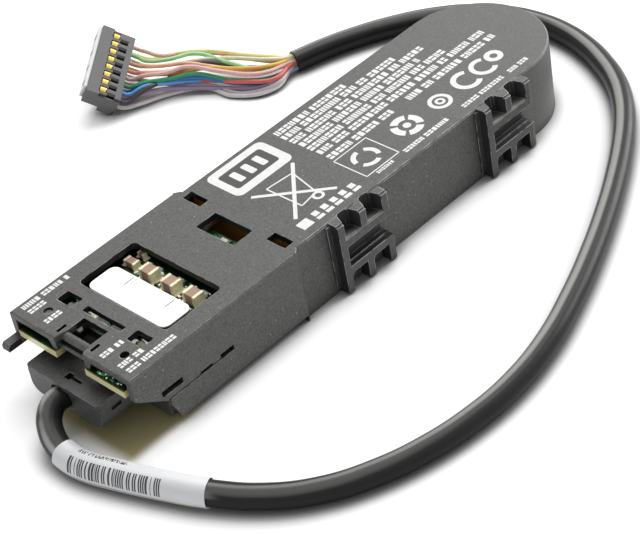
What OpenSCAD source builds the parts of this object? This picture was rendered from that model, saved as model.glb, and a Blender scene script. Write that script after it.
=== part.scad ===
// Backup battery module for a disk controller: a flat black housing with a round
// tail, a circuit board behind windows in its nose, four button cells in its tail
// and a plug-in cable. X runs from the nose to the tail, Y to the left and Z up.
// The origin is the middle of the housing's base.

/* [Housing] */
// Length of the housing from the nose to the tail
body_len = 142.8; // [140:0.2:148]
// Width of the nose section
nose_w = 38; // [37.2:0.1:40]
// Width of the battery section, which is also the diameter of the round tail
tail_w = 35.6; // [35:0.1:37]
// Height of the battery section
body_h = 18.6; // [18.2:0.1:20]
// Length of the nose section, up to where the sides step in
nose_len = 46.8; // [45.6:0.1:48]
// Length of the slanted step between the two widths
step_len = 1.4; // [1:0.1:2]
// Height of the nose section's underside over the base
nose_lift = 1.6; // [1:0.1:2]
// Thickness of the top wall
top_t = 1.5; // [1:0.1:1.8]
// Thickness of the nose section's side walls
nose_wall = 1.6; // [1.2:0.1:2]
// Thickness of the battery section's side walls
tail_wall = 1.2; // [1:0.1:1.4]
// Thickness of the base plate
base_t = 1.4; // [1:0.1:1.6]
// Chamfer along the upper edges
edge = 0.35; // [0.2:0.05:0.6]

/* [Windows in the top] */
// Distance of the large window from the nose
window_x = 14.6; // [13.6:0.1:15.6]
// Length of the large window
window_l = 15.8; // [14:0.1:16.4]
// Width of the large window
window_w = 27.4; // [26:0.1:29]
// Corner radius of the large window
window_r = 1.2; // [0.5:0.1:3]
// Length and width of the square inspection windows beside the lamps
sight_l = 3.3; // [2:0.1:4]
sight_w = 4.8; // [3:0.1:5.4]
// Distance between the middles of the two inspection windows
sight_span = 22; // [20:0.1:22.6]
// Diameter of the lamp holes
lamp_d = 2.1; // [1.5:0.1:2.6]
// Distance of the lamp holes from the sides
lamp_in = 7; // [6:0.1:8]
// Length and width of the middle window over the board's rear edge
mid_window_l = 5.8; // [4:0.1:6.4]
mid_window_w = 11.5; // [8:0.1:14]
// Length and width of the two small rear windows
rear_window_l = 2.7; // [2:0.1:3.4]
rear_window_w = 5.7; // [4:0.1:6.2]
// Distance between the middles of the two small rear windows
rear_window_span = 26.1; // [24:0.1:26.6]

/* [Latch notch] */
// Width of the notch behind the latch bar
notch_w = 7.6; // [6.6:0.1:8]
// Length of the notch
notch_l = 7.7; // [6.8:0.1:8]
// Diameter of the latch bar
bar_d = 2; // [1.4:0.1:2.4]
// Width and thickness of the locating finger at the nose
finger_w = 2.3; // [1.6:0.1:2.6]
finger_t = 1.6; // [1.2:0.1:1.9]
// Length of the finger in front of the nose
finger_l = 4.3; // [3:0.1:6]

/* [Clip groups on the side] */
// Distance of the first group from the nose
clip_x = 57.8; // [56:0.1:60]
// Distance from one group to the next
clip_step = 48; // [40:0.5:52]
// Distance from one rib to the next
clip_pitch = 6.7; // [6:0.1:7]
// Thickness of a rib
clip_rib = 1.8; // [1.4:0.1:2.2]
// Reach of the ribs out from the wall
clip_reach = 2.8; // [2.2:0.1:3.6]
// Height of the upper tier and depth of its pockets
tier_h = 6.5; // [5.6:0.1:7.5]
pocket_h = 4.3; // [3.4:0.1:4.8]
// Depth of the pockets into the wall
pocket_in = 0.6; // [0.3:0.1:0.7]
// Depth of the shelf under the top face, and its thickness
shelf_drop = 11.8; // [10:0.1:12.4]
shelf_t = 1.8; // [1.4:0.1:2.2]
// Clearance of the feet over the base
foot_lift = 0.4; // [0.2:0.1:0.8]

/* [Circuit board] */
// Thickness of the board
board_t = 1.6; // [1:0.1:1.7]
// Depth of the board's upper face under the top face
board_drop = 3.6; // [3.4:0.1:3.8]
// Clearance between the board and the nose section's side walls
board_gap = 0.8; // [0.6:0.1:1.2]
// Distance of the board's rear edge from the end of the nose section
board_end = 1.4; // [1:0.1:3]
// Reach of the board out of the nose
board_out = 0.5; // [0:0.1:1.5]
// Footprint and height of a large ceramic capacitor
cap_l = 3.8; // [2.8:0.1:4.4]
cap_w = 3; // [2:0.1:3.4]
cap_h = 2.7; // [2:0.1:3]
// Distance from one large capacitor to the next
cap_pitch = 6.8; // [5:0.1:7.2]
// Number of large capacitors
cap_count = 3; // [1:1:3]
// Width, length and height of the labelled module beside the capacitors
module_w = 8; // [6:0.1:8.4]
module_l = 24.4; // [22:0.1:26]
module_h = 2.8; // [2:0.1:3]
// Thickness of its label
label_t = 0.2; // [0.1:0.05:0.3]

/* [Cells] */
// Diameter of a button cell
cell_d = 32.4; // [31.8:0.1:32.8]
// Thickness of the insulating ring between two stacked cells
ring_t = 0.4; // [0.2:0.1:0.5]
// Room over the cells for the strap and the foam
foam_room = 1.7; // [1.2:0.1:2.4]
// Thickness of the nickel straps
strap_t = 0.15; // [0.1:0.05:0.2]

/* [Plug and cable] */
// Distance from one contact to the next, at both ends of the cable
pitch = 2.54; // [2.5:0.01:2.6]
// Number of contacts in each of the two rows
ways = 8; // [6:1:8]
// Width and length of the plug at the housing
plug_w = 22.6; // [22:0.1:23]
plug_l = 16; // [15:0.1:17]
// Reach of the plug out of the nose
plug_out = 4.4; // [3.4:0.1:6]
// Depth of the plug's upper face under the top face
plug_drop = 7.5; // [7.4:0.1:7.8]
// Thickness of the plug's upper half
plug_lid_t = 1.3; // [1:0.1:1.8]
// Diameter of the cable
cable_d = 5.4; // [4.8:0.1:5.6]
// Thickness of the wrap-round cable label
wrap_t = 0.25; // [0.15:0.05:0.4]
// Length, depth and height of the connector at the far end
conn_l = 21.8; // [21.4:0.1:24]
conn_w = 9.5; // [9.4:0.1:10.8]
conn_h = 6.2; // [5.8:0.1:6.6]

/* [Hidden] */

$fn = 48;
eps = 0.01;             // overshoot of a cut past the face it opens
fit = 0.15;             // clearance between pieces that slide together
fine = 0.1;             // clearance of a piece dropped on its seat
glue = 0.04;            // clearance of the label on the cable

// Levels, measured up from the base
inner_top = body_h - top_t;
board_top = body_h - board_drop;
board_bottom = board_top - board_t;
plug_top = body_h - plug_drop;
header_wall = 0.7;
plug_bottom = nose_lift + base_t + fit + header_wall + fit;
plug_h = plug_top - plug_bottom;
seam_z = plug_top - plug_lid_t;
pin_z = plug_bottom + (plug_h - plug_lid_t) / 2 + 0.5;

// Places along the housing, measured from the nose
tail_x = body_len - tail_w / 2;
step_end = nose_len + step_len;
tail_inner_r = tail_w / 2 - tail_wall;
cell_gap = 0.8;
cell_r = cell_d / 2;
cell_h = (inner_top - base_t - ring_t - foam_room) / 2;
cell_x = [tail_x, tail_x - cell_d - cell_gap];
cell_z = [base_t, base_t + cell_h + ring_t];
cells_top = cell_z[1] + cell_h;
pack_x = step_end + 2;
board_w = nose_w - 2 * (nose_wall + board_gap);
board_l = nose_len - board_end + board_out;
lamp_span = nose_w - 2 * lamp_in;
skirt_x = 8.1;
handle_x = 3.2;

// Side wall of the nose: where its lower edge slants up, and its slit and slots
cheek_z = body_h - 5.6;
strip_x = 7.6;
slit_z = body_h - 10.9;
slit_h = 0.3;
slit_end = 26.2;

// Base of the board's posts
post_x = [20, board_l - board_out - 5.4];
post_y = board_w / 2 - 2;
post_r = 1.7;
peg_r = 0.8;

// The holder in front of the cells: its walls, the sensor in it and the sheet over it
holder_wall = 1.6;
holder_end = cell_x[1] - cell_r - 2;
sensor_r = 1.3;
sensor_l = 8;
sheet_l = 12;
tab_y = 8.5;
tab_w = 3.4;
tab_lap = 4;

// Posts of the cover that stand on the base plate between the two stacks of cells
foot_x = tail_x - (cell_d + cell_gap) / 2;
foot_y = 13.9;
foot_r = 2.4;

// The header that the plug goes into, under the board
header_x = 7.5;
header_l = 11;
pin_w = 0.64;
pin_rows = [pin_z - pitch / 2, pin_z + pitch / 2];

// The plug's cable outlet
outlet = [-plug_out + 1.2, 1.2, plug_bottom + 3.1];
outlet_r = cable_d / 2 + 0.5;

// Way of the cable from the plug's outlet to the end of its sheath: distance from
// the outlet, place across the housing, and share of the drop left to the surface
floor_z = cable_d / 2;
cable_plan = [
    [0, 1.2, 1], [-2.8, 1.2, 1], [-5.6, 0, 0.8], [-7.7, -2.5, 0.5], [-9, -5.8, 0.24],
    [-9.4, -9.6, 0.1], [-9, -14, 0.07], [-6.7, -22, 0.06], [-3.3, -31.5, 0.06],
    [0.5, -40.5, 0.06], [5.9, -49.5, 0.02], [13.7, -57.5, 0], [24, -63.5, 0],
    [35, -67.2, 0], [46, -69, 0], [57, -69.2, 0], [70, -67.2, 0], [84, -62.8, 0],
    [98, -57.2, 0], [110.5, -51.4, 0], [120.5, -46.2, 0], [129.5, -41, 0], [137.5, -35.7, 0],
    [144.5, -30, 0], [150.5, -23.5, 0], [155.2, -16.2, 0], [158.8, -8.4, 0],
    [161, 0, 0], [161.4, 8.6, 0], [159.8, 17.4, 0], [156, 25.6, 0], [150, 33, 0],
    [142, 39.5, 0], [132.5, 45, 0], [125, 48.2, 0], [117, 50.7, 0]
];
cable_start = outlet[0] - body_len / 2;
cable_route = [
    for (p = cable_plan)
        [cable_start + p[0], p[1], floor_z + p[2] * (outlet[2] - floor_z)]
];
// The wrap-round label covers these points of the route
label_span = [4, 9];

// Place and turn of the far connector: its near corner lies on the surface
conn_turn = [-34, 13, -146];
conn_at = [cable_start + 91.2, 91.6, -turned([conn_l, conn_w, -conn_h])[2]];
conn_end_wall = (conn_l - ways * pitch) / 2;
conn_step = 5.2;
conn_thin = 4.8;
contact_y = 4;
contact_r = 0.9;
contact_l = 1.5;
contact_sink = 1.5;

// Centre line of the wires between the sheath and the connector
wire_plan = [[111.6, 52.4], [106.4, 56.6], [101.2, 63.2], [95.8, 70.2], [90.2, 76.6]];
wire_lift = [0, 0, 0.1, 0.7, 1.6];
wire_route = concat(
    [cable_route[len(cable_route) - 1]],
    [for (i = [0:len(wire_plan) - 1])
        [cable_start + wire_plan[i][0], wire_plan[i][1], floor_z + wire_lift[i]]]
);
wire_spread = 9;
wire_depth = 1.9;

echo("height of the board over the base", board_top);

// ---------------------------------------------------------------- helpers

// Everything that is measured from the nose is drawn inside this
module from_nose() {
    translate([-body_len / 2, 0, 0]) children();
}

module both_sides() {
    children();
    mirror([0, 1, 0]) children();
}

// A rectangle with round corners, from its low corner
module round_rect(size, r) {
    translate([r, 0]) square([size[0] - 2 * r, size[1]]);
    translate([0, r]) square([size[0], size[1] - 2 * r]);
    for (x = [r, size[0] - r], y = [r, size[1] - r])
        translate([x, y]) circle(r);
}

// A box whose low face lies at z and which is centred on y
module slab(x, y, z, size) {
    translate([x, y - size[1] / 2, z]) cube(size);
}

// Outline of the housing, moved in by one amount at the nose and another behind
module outline(nose_in, tail_in, start = 0) {
    nose_y = nose_w / 2 - nose_in;
    tail_y = tail_w / 2 - tail_in;
    polygon([
        [start, -nose_y], [nose_len, -nose_y], [step_end, -tail_y],
        [tail_x, -tail_y], [tail_x, tail_y], [step_end, tail_y],
        [nose_len, nose_y], [start, nose_y]
    ]);
    translate([tail_x, 0]) circle(tail_y, $fn = 96);
}

// ---------------------------------------------------------------- top cover

// The shell, open below and at the nose
module cover_shell() {
    difference() {
        linear_extrude(body_h) outline(0, 0);
        translate([0, 0, -eps]) linear_extrude(inner_top + eps)
            outline(nose_wall, tail_wall, -1);
        // the nose section stands off the base
        translate([-1, -nose_w, -eps]) cube([nose_len + 1, 2 * nose_w, nose_lift + eps]);
    }
}

// Chamfers along the upper edges
module edge_chamfers() {
    bevel = edge * sqrt(2);
    both_sides() {
        translate([0, nose_w / 2, body_h]) rotate([45, 0, 0])
            translate([-1, -bevel / 2, -bevel / 2]) cube([nose_len + 1, bevel, bevel]);
        translate([step_end, tail_w / 2, body_h]) rotate([45, 0, 0])
            translate([0, -bevel / 2, -bevel / 2]) cube([tail_x - step_end, bevel, bevel]);
    }
    // the front edge's own is smaller, so that each corner is one clean point
    front = 0.7 * bevel;
    translate([0, 0, body_h]) rotate([0, 45, 0])
        translate([-front / 2, -nose_w / 2 - 1, -front / 2]) cube([front, nose_w + 2, front]);
    intersection() {
        translate([tail_x, 0, body_h]) rotate_extrude($fn = 96)
            polygon([
                [tail_w / 2 - edge, 0], [tail_w / 2, -edge],
                [tail_w / 2 + 1, -edge], [tail_w / 2 + 1, 1], [tail_w / 2 - edge, 1]
            ]);
        translate([tail_x, -tail_w, 0]) cube([tail_w, 2 * tail_w, 2 * body_h]);
    }
}

// The lower front corner of a nose wall slants up, and a slit frees the skirt
module wall_cuts() {
    slot_z = body_h - 9.3;
    translate([0, nose_w / 2 + 1, 0]) rotate([90, 0, 0]) linear_extrude(nose_w + 2) {
        polygon([
            [-1, 0], [skirt_x, 0], [skirt_x, slit_z], [strip_x, slit_z],
            [0, cheek_z], [-1, cheek_z]
        ]);
        // the skirt's front corner is slanted
        polygon([[skirt_x - 1, 0], [skirt_x + 2.4, 0], [skirt_x, 6.2], [skirt_x - 1, 6.2]]);
        translate([strip_x, slit_z]) square([slit_end - strip_x, slit_h]);
        translate([16.6, slit_z]) square([3.4, 0.8]);
        translate([slit_end - 3.8, slit_z - 0.1]) square([3.8, 1.3]);
        translate([6.4, slot_z]) round_rect([5.8, 1.5], 0.3);
    }
}

// A window through the top wall: its low corner, its size and its corner radius
module window(x, y, size, r = 0.4) {
    translate([x, y - size[1] / 2, inner_top - 1])
        linear_extrude(top_t + 2) round_rect(size, r);
}

module top_windows() {
    window(window_x, 0, [window_l, window_w], window_r);
    for (side = [-1, 1]) {
        window(8.3, side * sight_span / 2, [sight_l, sight_w], 0.5);
        window(step_end - 1.4, side * rear_window_span / 2,
            [rear_window_l, rear_window_w], 0.2);
        window(1.6, side * (notch_w / 2 + 1.5), [2.5, 0.9], 0.2);
        translate([4.9, side * lamp_span / 2, inner_top - 1])
            cylinder(d = lamp_d, h = top_t + 2);
    }
    window(9, 0, [1.7, 11.9], 0.3);
    window(nose_len - mid_window_l + 0.4, 0, [mid_window_l, mid_window_w], 0.2);
}

// The notch widens a little towards the nose
module latch_notch() {
    flare = notch_w / 2 + 0.7;
    translate([0, 0, inner_top - 3]) linear_extrude(top_t + 4)
        polygon([
            [-1, -flare], [0, -flare], [handle_x, -notch_w / 2], [notch_l, -notch_w / 2],
            [notch_l, notch_w / 2], [handle_x, notch_w / 2], [0, flare], [-1, flare]
        ]);
}

// The latch bar across the notch, with a lip below it, between two cheeks
module latch_bar() {
    cheek_h = 3.5;
    half = notch_w / 2 + 0.7;
    bar_z = body_h - 0.3 - bar_d / 2;
    translate([0, half + 0.1, 0]) rotate([90, 0, 0]) linear_extrude(2 * half + 0.2) {
        translate([2.6, bar_z]) circle(d = bar_d);
        translate([1.3, bar_z - 1.6]) circle(0.5);
        polygon([
            [2.6, bar_z - bar_d / 2], [3.5, bar_z - 0.4], [3.3, bar_z - 1.9],
            [1.3, bar_z - 2.1], [1.3, bar_z - 1.4], [2.3, bar_z - 1.2]
        ]);
    }
    // the cheeks taper from their roots under the top wall
    both_sides() rotate([90, 0, 90]) linear_extrude(1.4)
        polygon([
            [half - 0.1, body_h - top_t + eps], [half + 2.2, body_h - top_t + eps],
            [half + 1.2, body_h - cheek_h], [half - 0.1, body_h - cheek_h]
        ]);
    both_sides() translate([1.4 - eps, half - 0.1, body_h - cheek_h])
        cube([2.2, 0.8, cheek_h - top_t + eps]);
}

// A finger at the left of the nose guides the module into its bay
module guide_finger() {
    finger_y = nose_w / 2 - nose_wall - 1.2 + finger_w / 2;
    difference() {
        slab(-finger_l, finger_y, cheek_z - 0.3 - finger_t + 0.6,
            [finger_l + 3, finger_w, finger_t]);
        // tip rounded off from above
        translate([-finger_l, 0, cheek_z + 0.3]) rotate([0, 45, 0])
            cube([0.8, 2 * nose_w, 0.8], center = true);
    }
}

// One group of ribs, pockets and feet, drawn outwards from the wall along +Y
module clip_group() {
    group_l = 2 * clip_pitch + clip_rib;
    tip = 0.5;
    // upper tier: two pockets, open above and outwards, between three ribs
    difference() {
        translate([0, -eps, body_h - tier_h]) cube([group_l, clip_reach + eps, tier_h]);
        // the pockets' outer sills are bevelled
        translate([clip_rib, clip_reach, body_h - pocket_h]) rotate([45, 0, 0])
            translate([0, -tip / 2, -tip / 2]) cube([2 * clip_pitch - clip_rib, tip, tip]);
        // small steps at the ribs' upper tips
        translate([-1, clip_reach - tip, body_h - 0.4])
            cube([group_l + 2, tip + 1, 0.4 + eps]);
    }
    // front rib over the full height, with a low ridge at its root
    translate([0, -eps, foot_lift]) cube([clip_rib, clip_reach + eps, body_h - tier_h - foot_lift + eps]);
    translate([-1.1, -eps, nose_lift]) cube([1.1 + eps, 0.5 + eps, body_h - nose_lift - 0.6]);
    // lower tier: a shelf on three feet, with an arch between each two
    rotate([90, 0, 0]) mirror([0, 0, 1]) linear_extrude(clip_reach)
        lower_tier(group_l);
    // the shelf's inner half is raised a little
    translate([clip_rib - eps, -eps, body_h - shelf_drop - eps])
        cube([group_l - clip_rib + eps, clip_reach / 2, 0.3]);
}

// Front view of the shelf and its feet
module lower_tier(group_l) {
    arch_top = body_h - shelf_drop - shelf_t;
    arch_r = 1.2;
    difference() {
        translate([0, foot_lift]) square([group_l, body_h - shelf_drop - foot_lift]);
        for (i = [0:1])
            translate([clip_rib + i * clip_pitch, 0]) {
                square([clip_pitch - clip_rib, arch_top - arch_r]);
                translate([arch_r, 0]) square([clip_pitch - clip_rib - arch_r, arch_top]);
                translate([arch_r, arch_top - arch_r]) circle(arch_r);
            }
    }
}

// Plan of a pocket: it narrows towards its back and widens towards the tips
module pocket_plan() {
    w = clip_pitch - clip_rib;
    polygon([
        [0, clip_reach - 0.3], [0.9, 0.1], [1.5, -pocket_in], [w - 1.3, -pocket_in],
        [w - 0.7, 0.1], [w, clip_reach - 0.3], [w, clip_reach + 1], [0, clip_reach + 1]
    ]);
}

// Pockets of the upper tier, and blind slots in the wall behind the arches
module clip_hollows() {
    for (i = [0:1]) translate([clip_rib + i * clip_pitch, 0, 0]) {
        translate([0, 0, body_h - pocket_h]) linear_extrude(pocket_h + 1) pocket_plan();
        translate([1.6, -0.6, body_h - shelf_drop - shelf_t - 1.5]) cube([1.6, 1, 1.1]);
    }
}

// Posts that stand on the base plate, and bosses that hold the board on its pegs
module cover_posts() {
    both_sides() {
        translate([foot_x, foot_y, base_t]) cylinder(r = foot_r, h = inner_top - base_t + eps);
        translate([foot_x - 1, foot_y, base_t])
            cube([2, tail_w / 2 - tail_wall - foot_y + eps, inner_top - base_t + eps]);
        translate([post_x[1], post_y, board_top]) difference() {
            cylinder(r = post_r, h = inner_top - board_top + eps);
            translate([0, 0, -1]) cylinder(r = peg_r + fine, h = 2.2);
        }
    }
}

module on_clip_wall() {
    for (x = [clip_x, clip_x + clip_step])
        translate([x, -tail_w / 2, 0]) mirror([0, 1, 0]) children();
}

module top_cover() {
    color([0.2, 0.2, 0.2]) from_nose() {
        difference() {
            union() {
                difference() {
                    cover_shell();
                    edge_chamfers();
                    wall_cuts();
                    top_windows();
                    latch_notch();
                }
                on_clip_wall() clip_group();
                cover_posts();
            }
            on_clip_wall() clip_hollows();
        }
        latch_bar();
        guide_finger();
    }
}

// ---------------------------------------------------------------- base cover

// Base plate: low under the battery section, raised under the nose section
module base_cover() {
    nose_floor = nose_lift + base_t;
    front_y = nose_w / 2 - nose_wall - fit;
    color([0.16, 0.16, 0.17]) from_nose() {
        difference() {
            linear_extrude(base_t) outline(nose_wall + fit, tail_wall + fit, nose_len);
            // clearance for the nose section's lifted rim
            translate([0, -nose_w, -1]) cube([nose_len, 2 * nose_w, 1]);
        }
        slab(skirt_x + 0.4, 0, nose_lift, [nose_len - skirt_x - 0.4, 2 * front_y, base_t]);
        // riser where the floor steps down, and the front wall under the plug
        slab(nose_len - 1.2, 0, 0, [1.2 + eps, 2 * front_y, nose_floor]);
        slab(skirt_x + 0.4, 0, nose_lift, [1.2, 2 * front_y, base_t + 0.1]);
        both_sides() translate([skirt_x + 0.4, plug_w / 2 + header_wall + 2 * fit + 0.4, nose_lift])
            cube([1.2, front_y - plug_w / 2 - header_wall - 2 * fit - 0.4, slit_z - nose_lift - fit]);
        // posts under the board, each with a peg through it
        for (x = post_x, y = [-post_y, post_y]) translate([x, y, nose_lift]) {
            cylinder(r = post_r, h = board_bottom - nose_lift);
            cylinder(r = peg_r, h = board_top + 0.8 - nose_lift);
        }
    }
}

// ---------------------------------------------------------------- circuit board

module board_outline() {
    lip_y = notch_w / 2 + 0.8;
    front = -board_out;
    difference() {
        translate([front, -board_w / 2]) square([board_l, board_w]);
        translate([front - 1, -lip_y]) square([notch_l + 1.7 - front, 2 * lip_y]);
    }
}

module circuit_board() {
    color([0.1, 0.35, 0.16]) from_nose() difference() {
        translate([0, 0, board_bottom]) linear_extrude(board_t) board_outline();
        for (x = post_x, y = [-post_y, post_y])
            translate([x, y, board_bottom - 1]) cylinder(r = peg_r + fine, h = board_t + 2);
        for (pin = header_pin_places())
            slab(pin[0] - pin_w / 2, pin[1], board_bottom - 1, [pin_w, pin_w, board_t + 2]);
    }
}

// The labelled module fills the window's front half
module on_module() {
    from_nose() translate([window_x + 0.6, -module_l / 2 - 0.2, board_top]) children();
}

module power_module() {
    color([0.25, 0.2, 0.16]) on_module()
        linear_extrude(module_h) round_rect([module_w, module_l], 1.8);
}

module module_label() {
    color([0.95, 0.95, 0.93]) on_module() translate([0, 0, module_h])
        linear_extrude(label_t) round_rect([module_w, module_l], 1.8);
}

// A row of large ceramic capacitors, a smaller one beside it and one behind
module ceramic_capacitors() {
    row_x = window_x + 0.6 + module_w + 2.1;
    row_y = -1.6;
    color([0.6, 0.45, 0.36]) from_nose() {
        for (i = [0:cap_count - 1])
            slab(row_x, row_y + (i - 1) * cap_pitch, board_top, [cap_w, cap_l, cap_h]);
        slab(row_x + 1, row_y + cap_pitch * 1.94, board_top, [2, 3.4, 1.7]);
        slab(row_x + 4.6, row_y + cap_pitch * 1.97, board_top, [1.2, 2, 1.5]);
    }
}

// Small chips: the middle of each on the board, and its size
module board_chips() {
    rear = board_l - board_out;
    chips = [
        [29.4, -8.6, 1, 1.8, 0.7], [29.6, -1, 0.9, 1.6, 0.6], [29.6, 5.6, 0.9, 1.4, 0.5],
        [24.5, -11.9, 1.6, 0.9, 0.7], [27, -12.2, 1, 1.6, 0.6], [24.3, 11.4, 0.9, 1.4, 0.5],
        [24.3, 8.4, 0.9, 1.4, 0.5], [11.3, -2.2, 1.2, 4.4, 0.7], [10.9, 12.6, 1, 1.6, 0.6],
        [10.9, 10.2, 1, 1.6, 0.6], [10.9, -9.6, 1, 1.6, 0.8], [11.2, -11.8, 1.6, 1, 0.6],
        [6.9, 5.8, 0.9, 1.7, 0.8], [rear - 1.5, -3.6, 1, 1.8, 0.7], [rear - 1.5, 0.4, 1, 1.8, 0.7],
        [rear - 9.4, 6, 5, 4.4, 1.2], [rear - 10, -5, 4, 5, 1.4],
        [rear - 9, 11.9, 1.6, 0.9, 0.7]
    ];
    color([0.75, 0.75, 0.72]) from_nose() {
        for (c = chips) slab(c[0] - c[2] / 2, c[1], board_top, [c[2], c[3], c[4]]);
        for (i = [0:4]) slab(10.8, 7.2 - 1.3 * i, board_top, [1, 0.8, 0.6]);
    }
}

// Status lamps on the board under the two holes
module lamp_lenses() {
    color([0.9, 0.9, 0.85]) from_nose() for (side = [-1, 1])
        translate([4.9, side * lamp_span / 2, board_top]) {
            slab(-0.8, 0, 0, [1.6, 1.6, 0.5]);
            translate([0, 0, 0.5]) cylinder(r = 0.6, h = 0.4);
        }
}

// The guide carries the left lamp's light up into its hole
module light_guide() {
    color([0.35, 0.35, 0.36]) from_nose()
        translate([4.9, lamp_span / 2, board_top + 0.9]) {
            cylinder(d = lamp_d - 2 * fine, h = board_drop - 0.9 - 0.5);
            cylinder(d = lamp_d + 0.6, h = board_drop - 0.9 - top_t - fine);
        }
}

// ---------------------------------------------------------------- header and plug

// Where the header's pins come up through the board, front row first
function header_pin_places() = [
    for (row = [0, 1], i = [0:ways - 1])
        [header_x + header_l + 0.9 + row * pitch, (i - (ways - 1) / 2) * pitch]
];

// A bent pin: forwards into the plug, back, and up through the board
module header_pin(row) {
    z = pin_rows[row];
    back = header_x + header_l + 0.9 + (1 - row) * pitch;
    tip = header_x + 1.2;
    slab(tip, 0, z - pin_w / 2, [back + pin_w / 2 - tip, pin_w, pin_w]);
    slab(back - pin_w / 2, 0, z - pin_w / 2, [pin_w, pin_w, board_top - z + pin_w / 2]);
}

module header_pins() {
    color([0.85, 0.7, 0.3]) from_nose()
        for (i = [0:ways - 1], row = [0, 1])
            translate([0, (i - (ways - 1) / 2) * pitch, 0]) header_pin(1 - row);
}

// Shrouded header under the board; the plug slides into its open front
module board_header() {
    in_y = plug_w / 2 + fit;
    low = plug_bottom - fit - header_wall;
    color([0.12, 0.12, 0.13]) from_nose() difference() {
        slab(header_x, 0, low, [header_l, 2 * (in_y + header_wall), board_bottom - low]);
        slab(header_x - 1, 0, plug_bottom - fit,
            [plug_l - plug_out - header_x + 1, 2 * in_y, plug_h + 2 * fit]);
        for (i = [0:ways - 1], z = pin_rows)
            slab(header_x, (i - (ways - 1) / 2) * pitch, z - pin_w / 2,
                [header_l + 1, pin_w, pin_w]);
    }
}

// Sockets in the plug's nose, one round each pin
module plug_sockets() {
    depth = plug_l - plug_out - header_x - 1.2 + 0.6;
    for (i = [0:ways - 1], z = pin_rows)
        slab(plug_l - plug_out - depth, (i - (ways - 1) / 2) * pitch, z - 0.6,
            [depth + 1, 1.2, 1.2]);
}

// Front view of the whole plug: its lower edges are rounded
module plug_section() {
    r = 2.4;
    half = plug_w / 2;
    translate([-half, r]) square([plug_w, plug_h - r]);
    translate([-half + r, 0]) square([plug_w - 2 * r, plug_h]);
    for (y = [-half + r, half - r]) translate([y, r]) circle(r);
}

module plug_body() {
    translate([-plug_out, 0, plug_bottom]) rotate([90, 0, 90])
        linear_extrude(plug_l) plug_section();
}

// Upper half of the plug: a plate with a keyhole slot, arched over the cable
module plug_upper() {
    corner = 1;
    color([0.17, 0.17, 0.17]) from_nose() difference() {
        intersection() {
            translate([-plug_out, -plug_w / 2, seam_z]) linear_extrude(plug_lid_t)
                round_rect([plug_l, plug_w], corner);
            plug_body();
        }
        // keyhole slot
        slab(-2.2, 0.6, seam_z - 1, [1.7, 1.6, plug_lid_t + 2]);
        slab(-1.7, -1.6, seam_z - 1, [0.7, 3.4, plug_lid_t + 2]);
        cable_outlet();
    }
}

// The cable's way in: a shallow mouth, then a bore on the sheath
module cable_outlet() {
    translate([-plug_out - 1, outlet[1], outlet[2]]) rotate([0, 90, 0])
        cylinder(r = outlet_r, h = outlet[0] + plug_out + 1);
}

module plug_lower() {
    color([0.15, 0.15, 0.15]) from_nose() difference() {
        intersection() {
            plug_body();
            slab(-plug_out + 0.3, 0, plug_bottom - 1, [plug_l, plug_w, plug_h + 1 - plug_lid_t]);
        }
        cable_outlet();
        plug_sockets();
        // a concave relief beside the cable
        translate([-plug_out + 0.3, outlet[1], plug_bottom - 0.4]) rotate([0, 90, 0])
            cylinder(r = 4.6, h = 1, center = true);
        // latch slot in each side
        for (side = [-1, 1])
            slab(-1, side * plug_w / 2, seam_z - 2.2, [2.6, 1.2, 1]);
    }
}

// ---------------------------------------------------------------- cable

function unit(v) = v / norm(v);

// Direction of a route at its point i
function heading(route, i) =
    unit(route[min(i + 1, len(route) - 1)] - route[max(i - 1, 0)]);

// A ring of points across a route; its sides stay upright
function ring(at, way, r, sides) =
    let (side = unit(cross([0, 0, 1], way)), up = cross(way, side))
    [for (k = [0:sides - 1]) at + r * (cos(360 * k / sides) * side + sin(360 * k / sides) * up)];

// Faces between two rings of points that start at a and b
function band(a, b, sides) = [
    for (k = [0:sides - 1])
        let (next = (k + 1) % sides)
        each [[a + k, b + k, b + next], [a + k, b + next, a + next]]
];

// Closed skin over a list of rings of equal length
module skin(rings) {
    sides = len(rings[0]);
    last = len(rings) - 1;
    polyhedron(
        points = [for (one = rings, point = one) point],
        faces = concat(
            [[for (k = [0:sides - 1]) k]],
            [for (i = [0:last - 1]) each band(i * sides, (i + 1) * sides, sides)],
            [[for (k = [sides - 1:-1:0]) last * sides + k]]
        )
    );
}

// A hollow sleeve between outer and inner rings
module sleeve(outer, inner) {
    sides = len(outer[0]);
    last = len(outer) - 1;
    inside = len(outer) * sides;
    polyhedron(
        points = [for (one = concat(outer, inner), point = one) point],
        faces = concat(
            [for (i = [0:last - 1]) each band(i * sides, (i + 1) * sides, sides)],
            [
                for (i = [0:last - 1])
                    each [
                        for (f = band(inside + i * sides, inside + (i + 1) * sides, sides))
                            [f[2], f[1], f[0]]
                    ]
            ],
            band(inside, 0, sides),
            band(last * sides, inside + last * sides, sides)
        )
    );
}

function tube(route, r, sides, first, last) =
    [for (i = [first:last]) ring(route[i], heading(route, i), r, sides)];

module cable_sheath() {
    color([0.12, 0.12, 0.12])
        skin(tube(cable_route, cable_d / 2, 12, 0, len(cable_route) - 1));
}

// Wrap-round label, a thin sleeve on the sheath
module cable_label() {
    color([0.94, 0.94, 0.94]) sleeve(
        tube(cable_route, cable_d / 2 + wrap_t, 12, label_span[0], label_span[1]),
        tube(cable_route, cable_d / 2 + glue, 12, label_span[0], label_span[1])
    );
}

// ---------------------------------------------------------------- far connector

module at_connector() {
    translate(conn_at) rotate(conn_turn) children();
}

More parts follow.
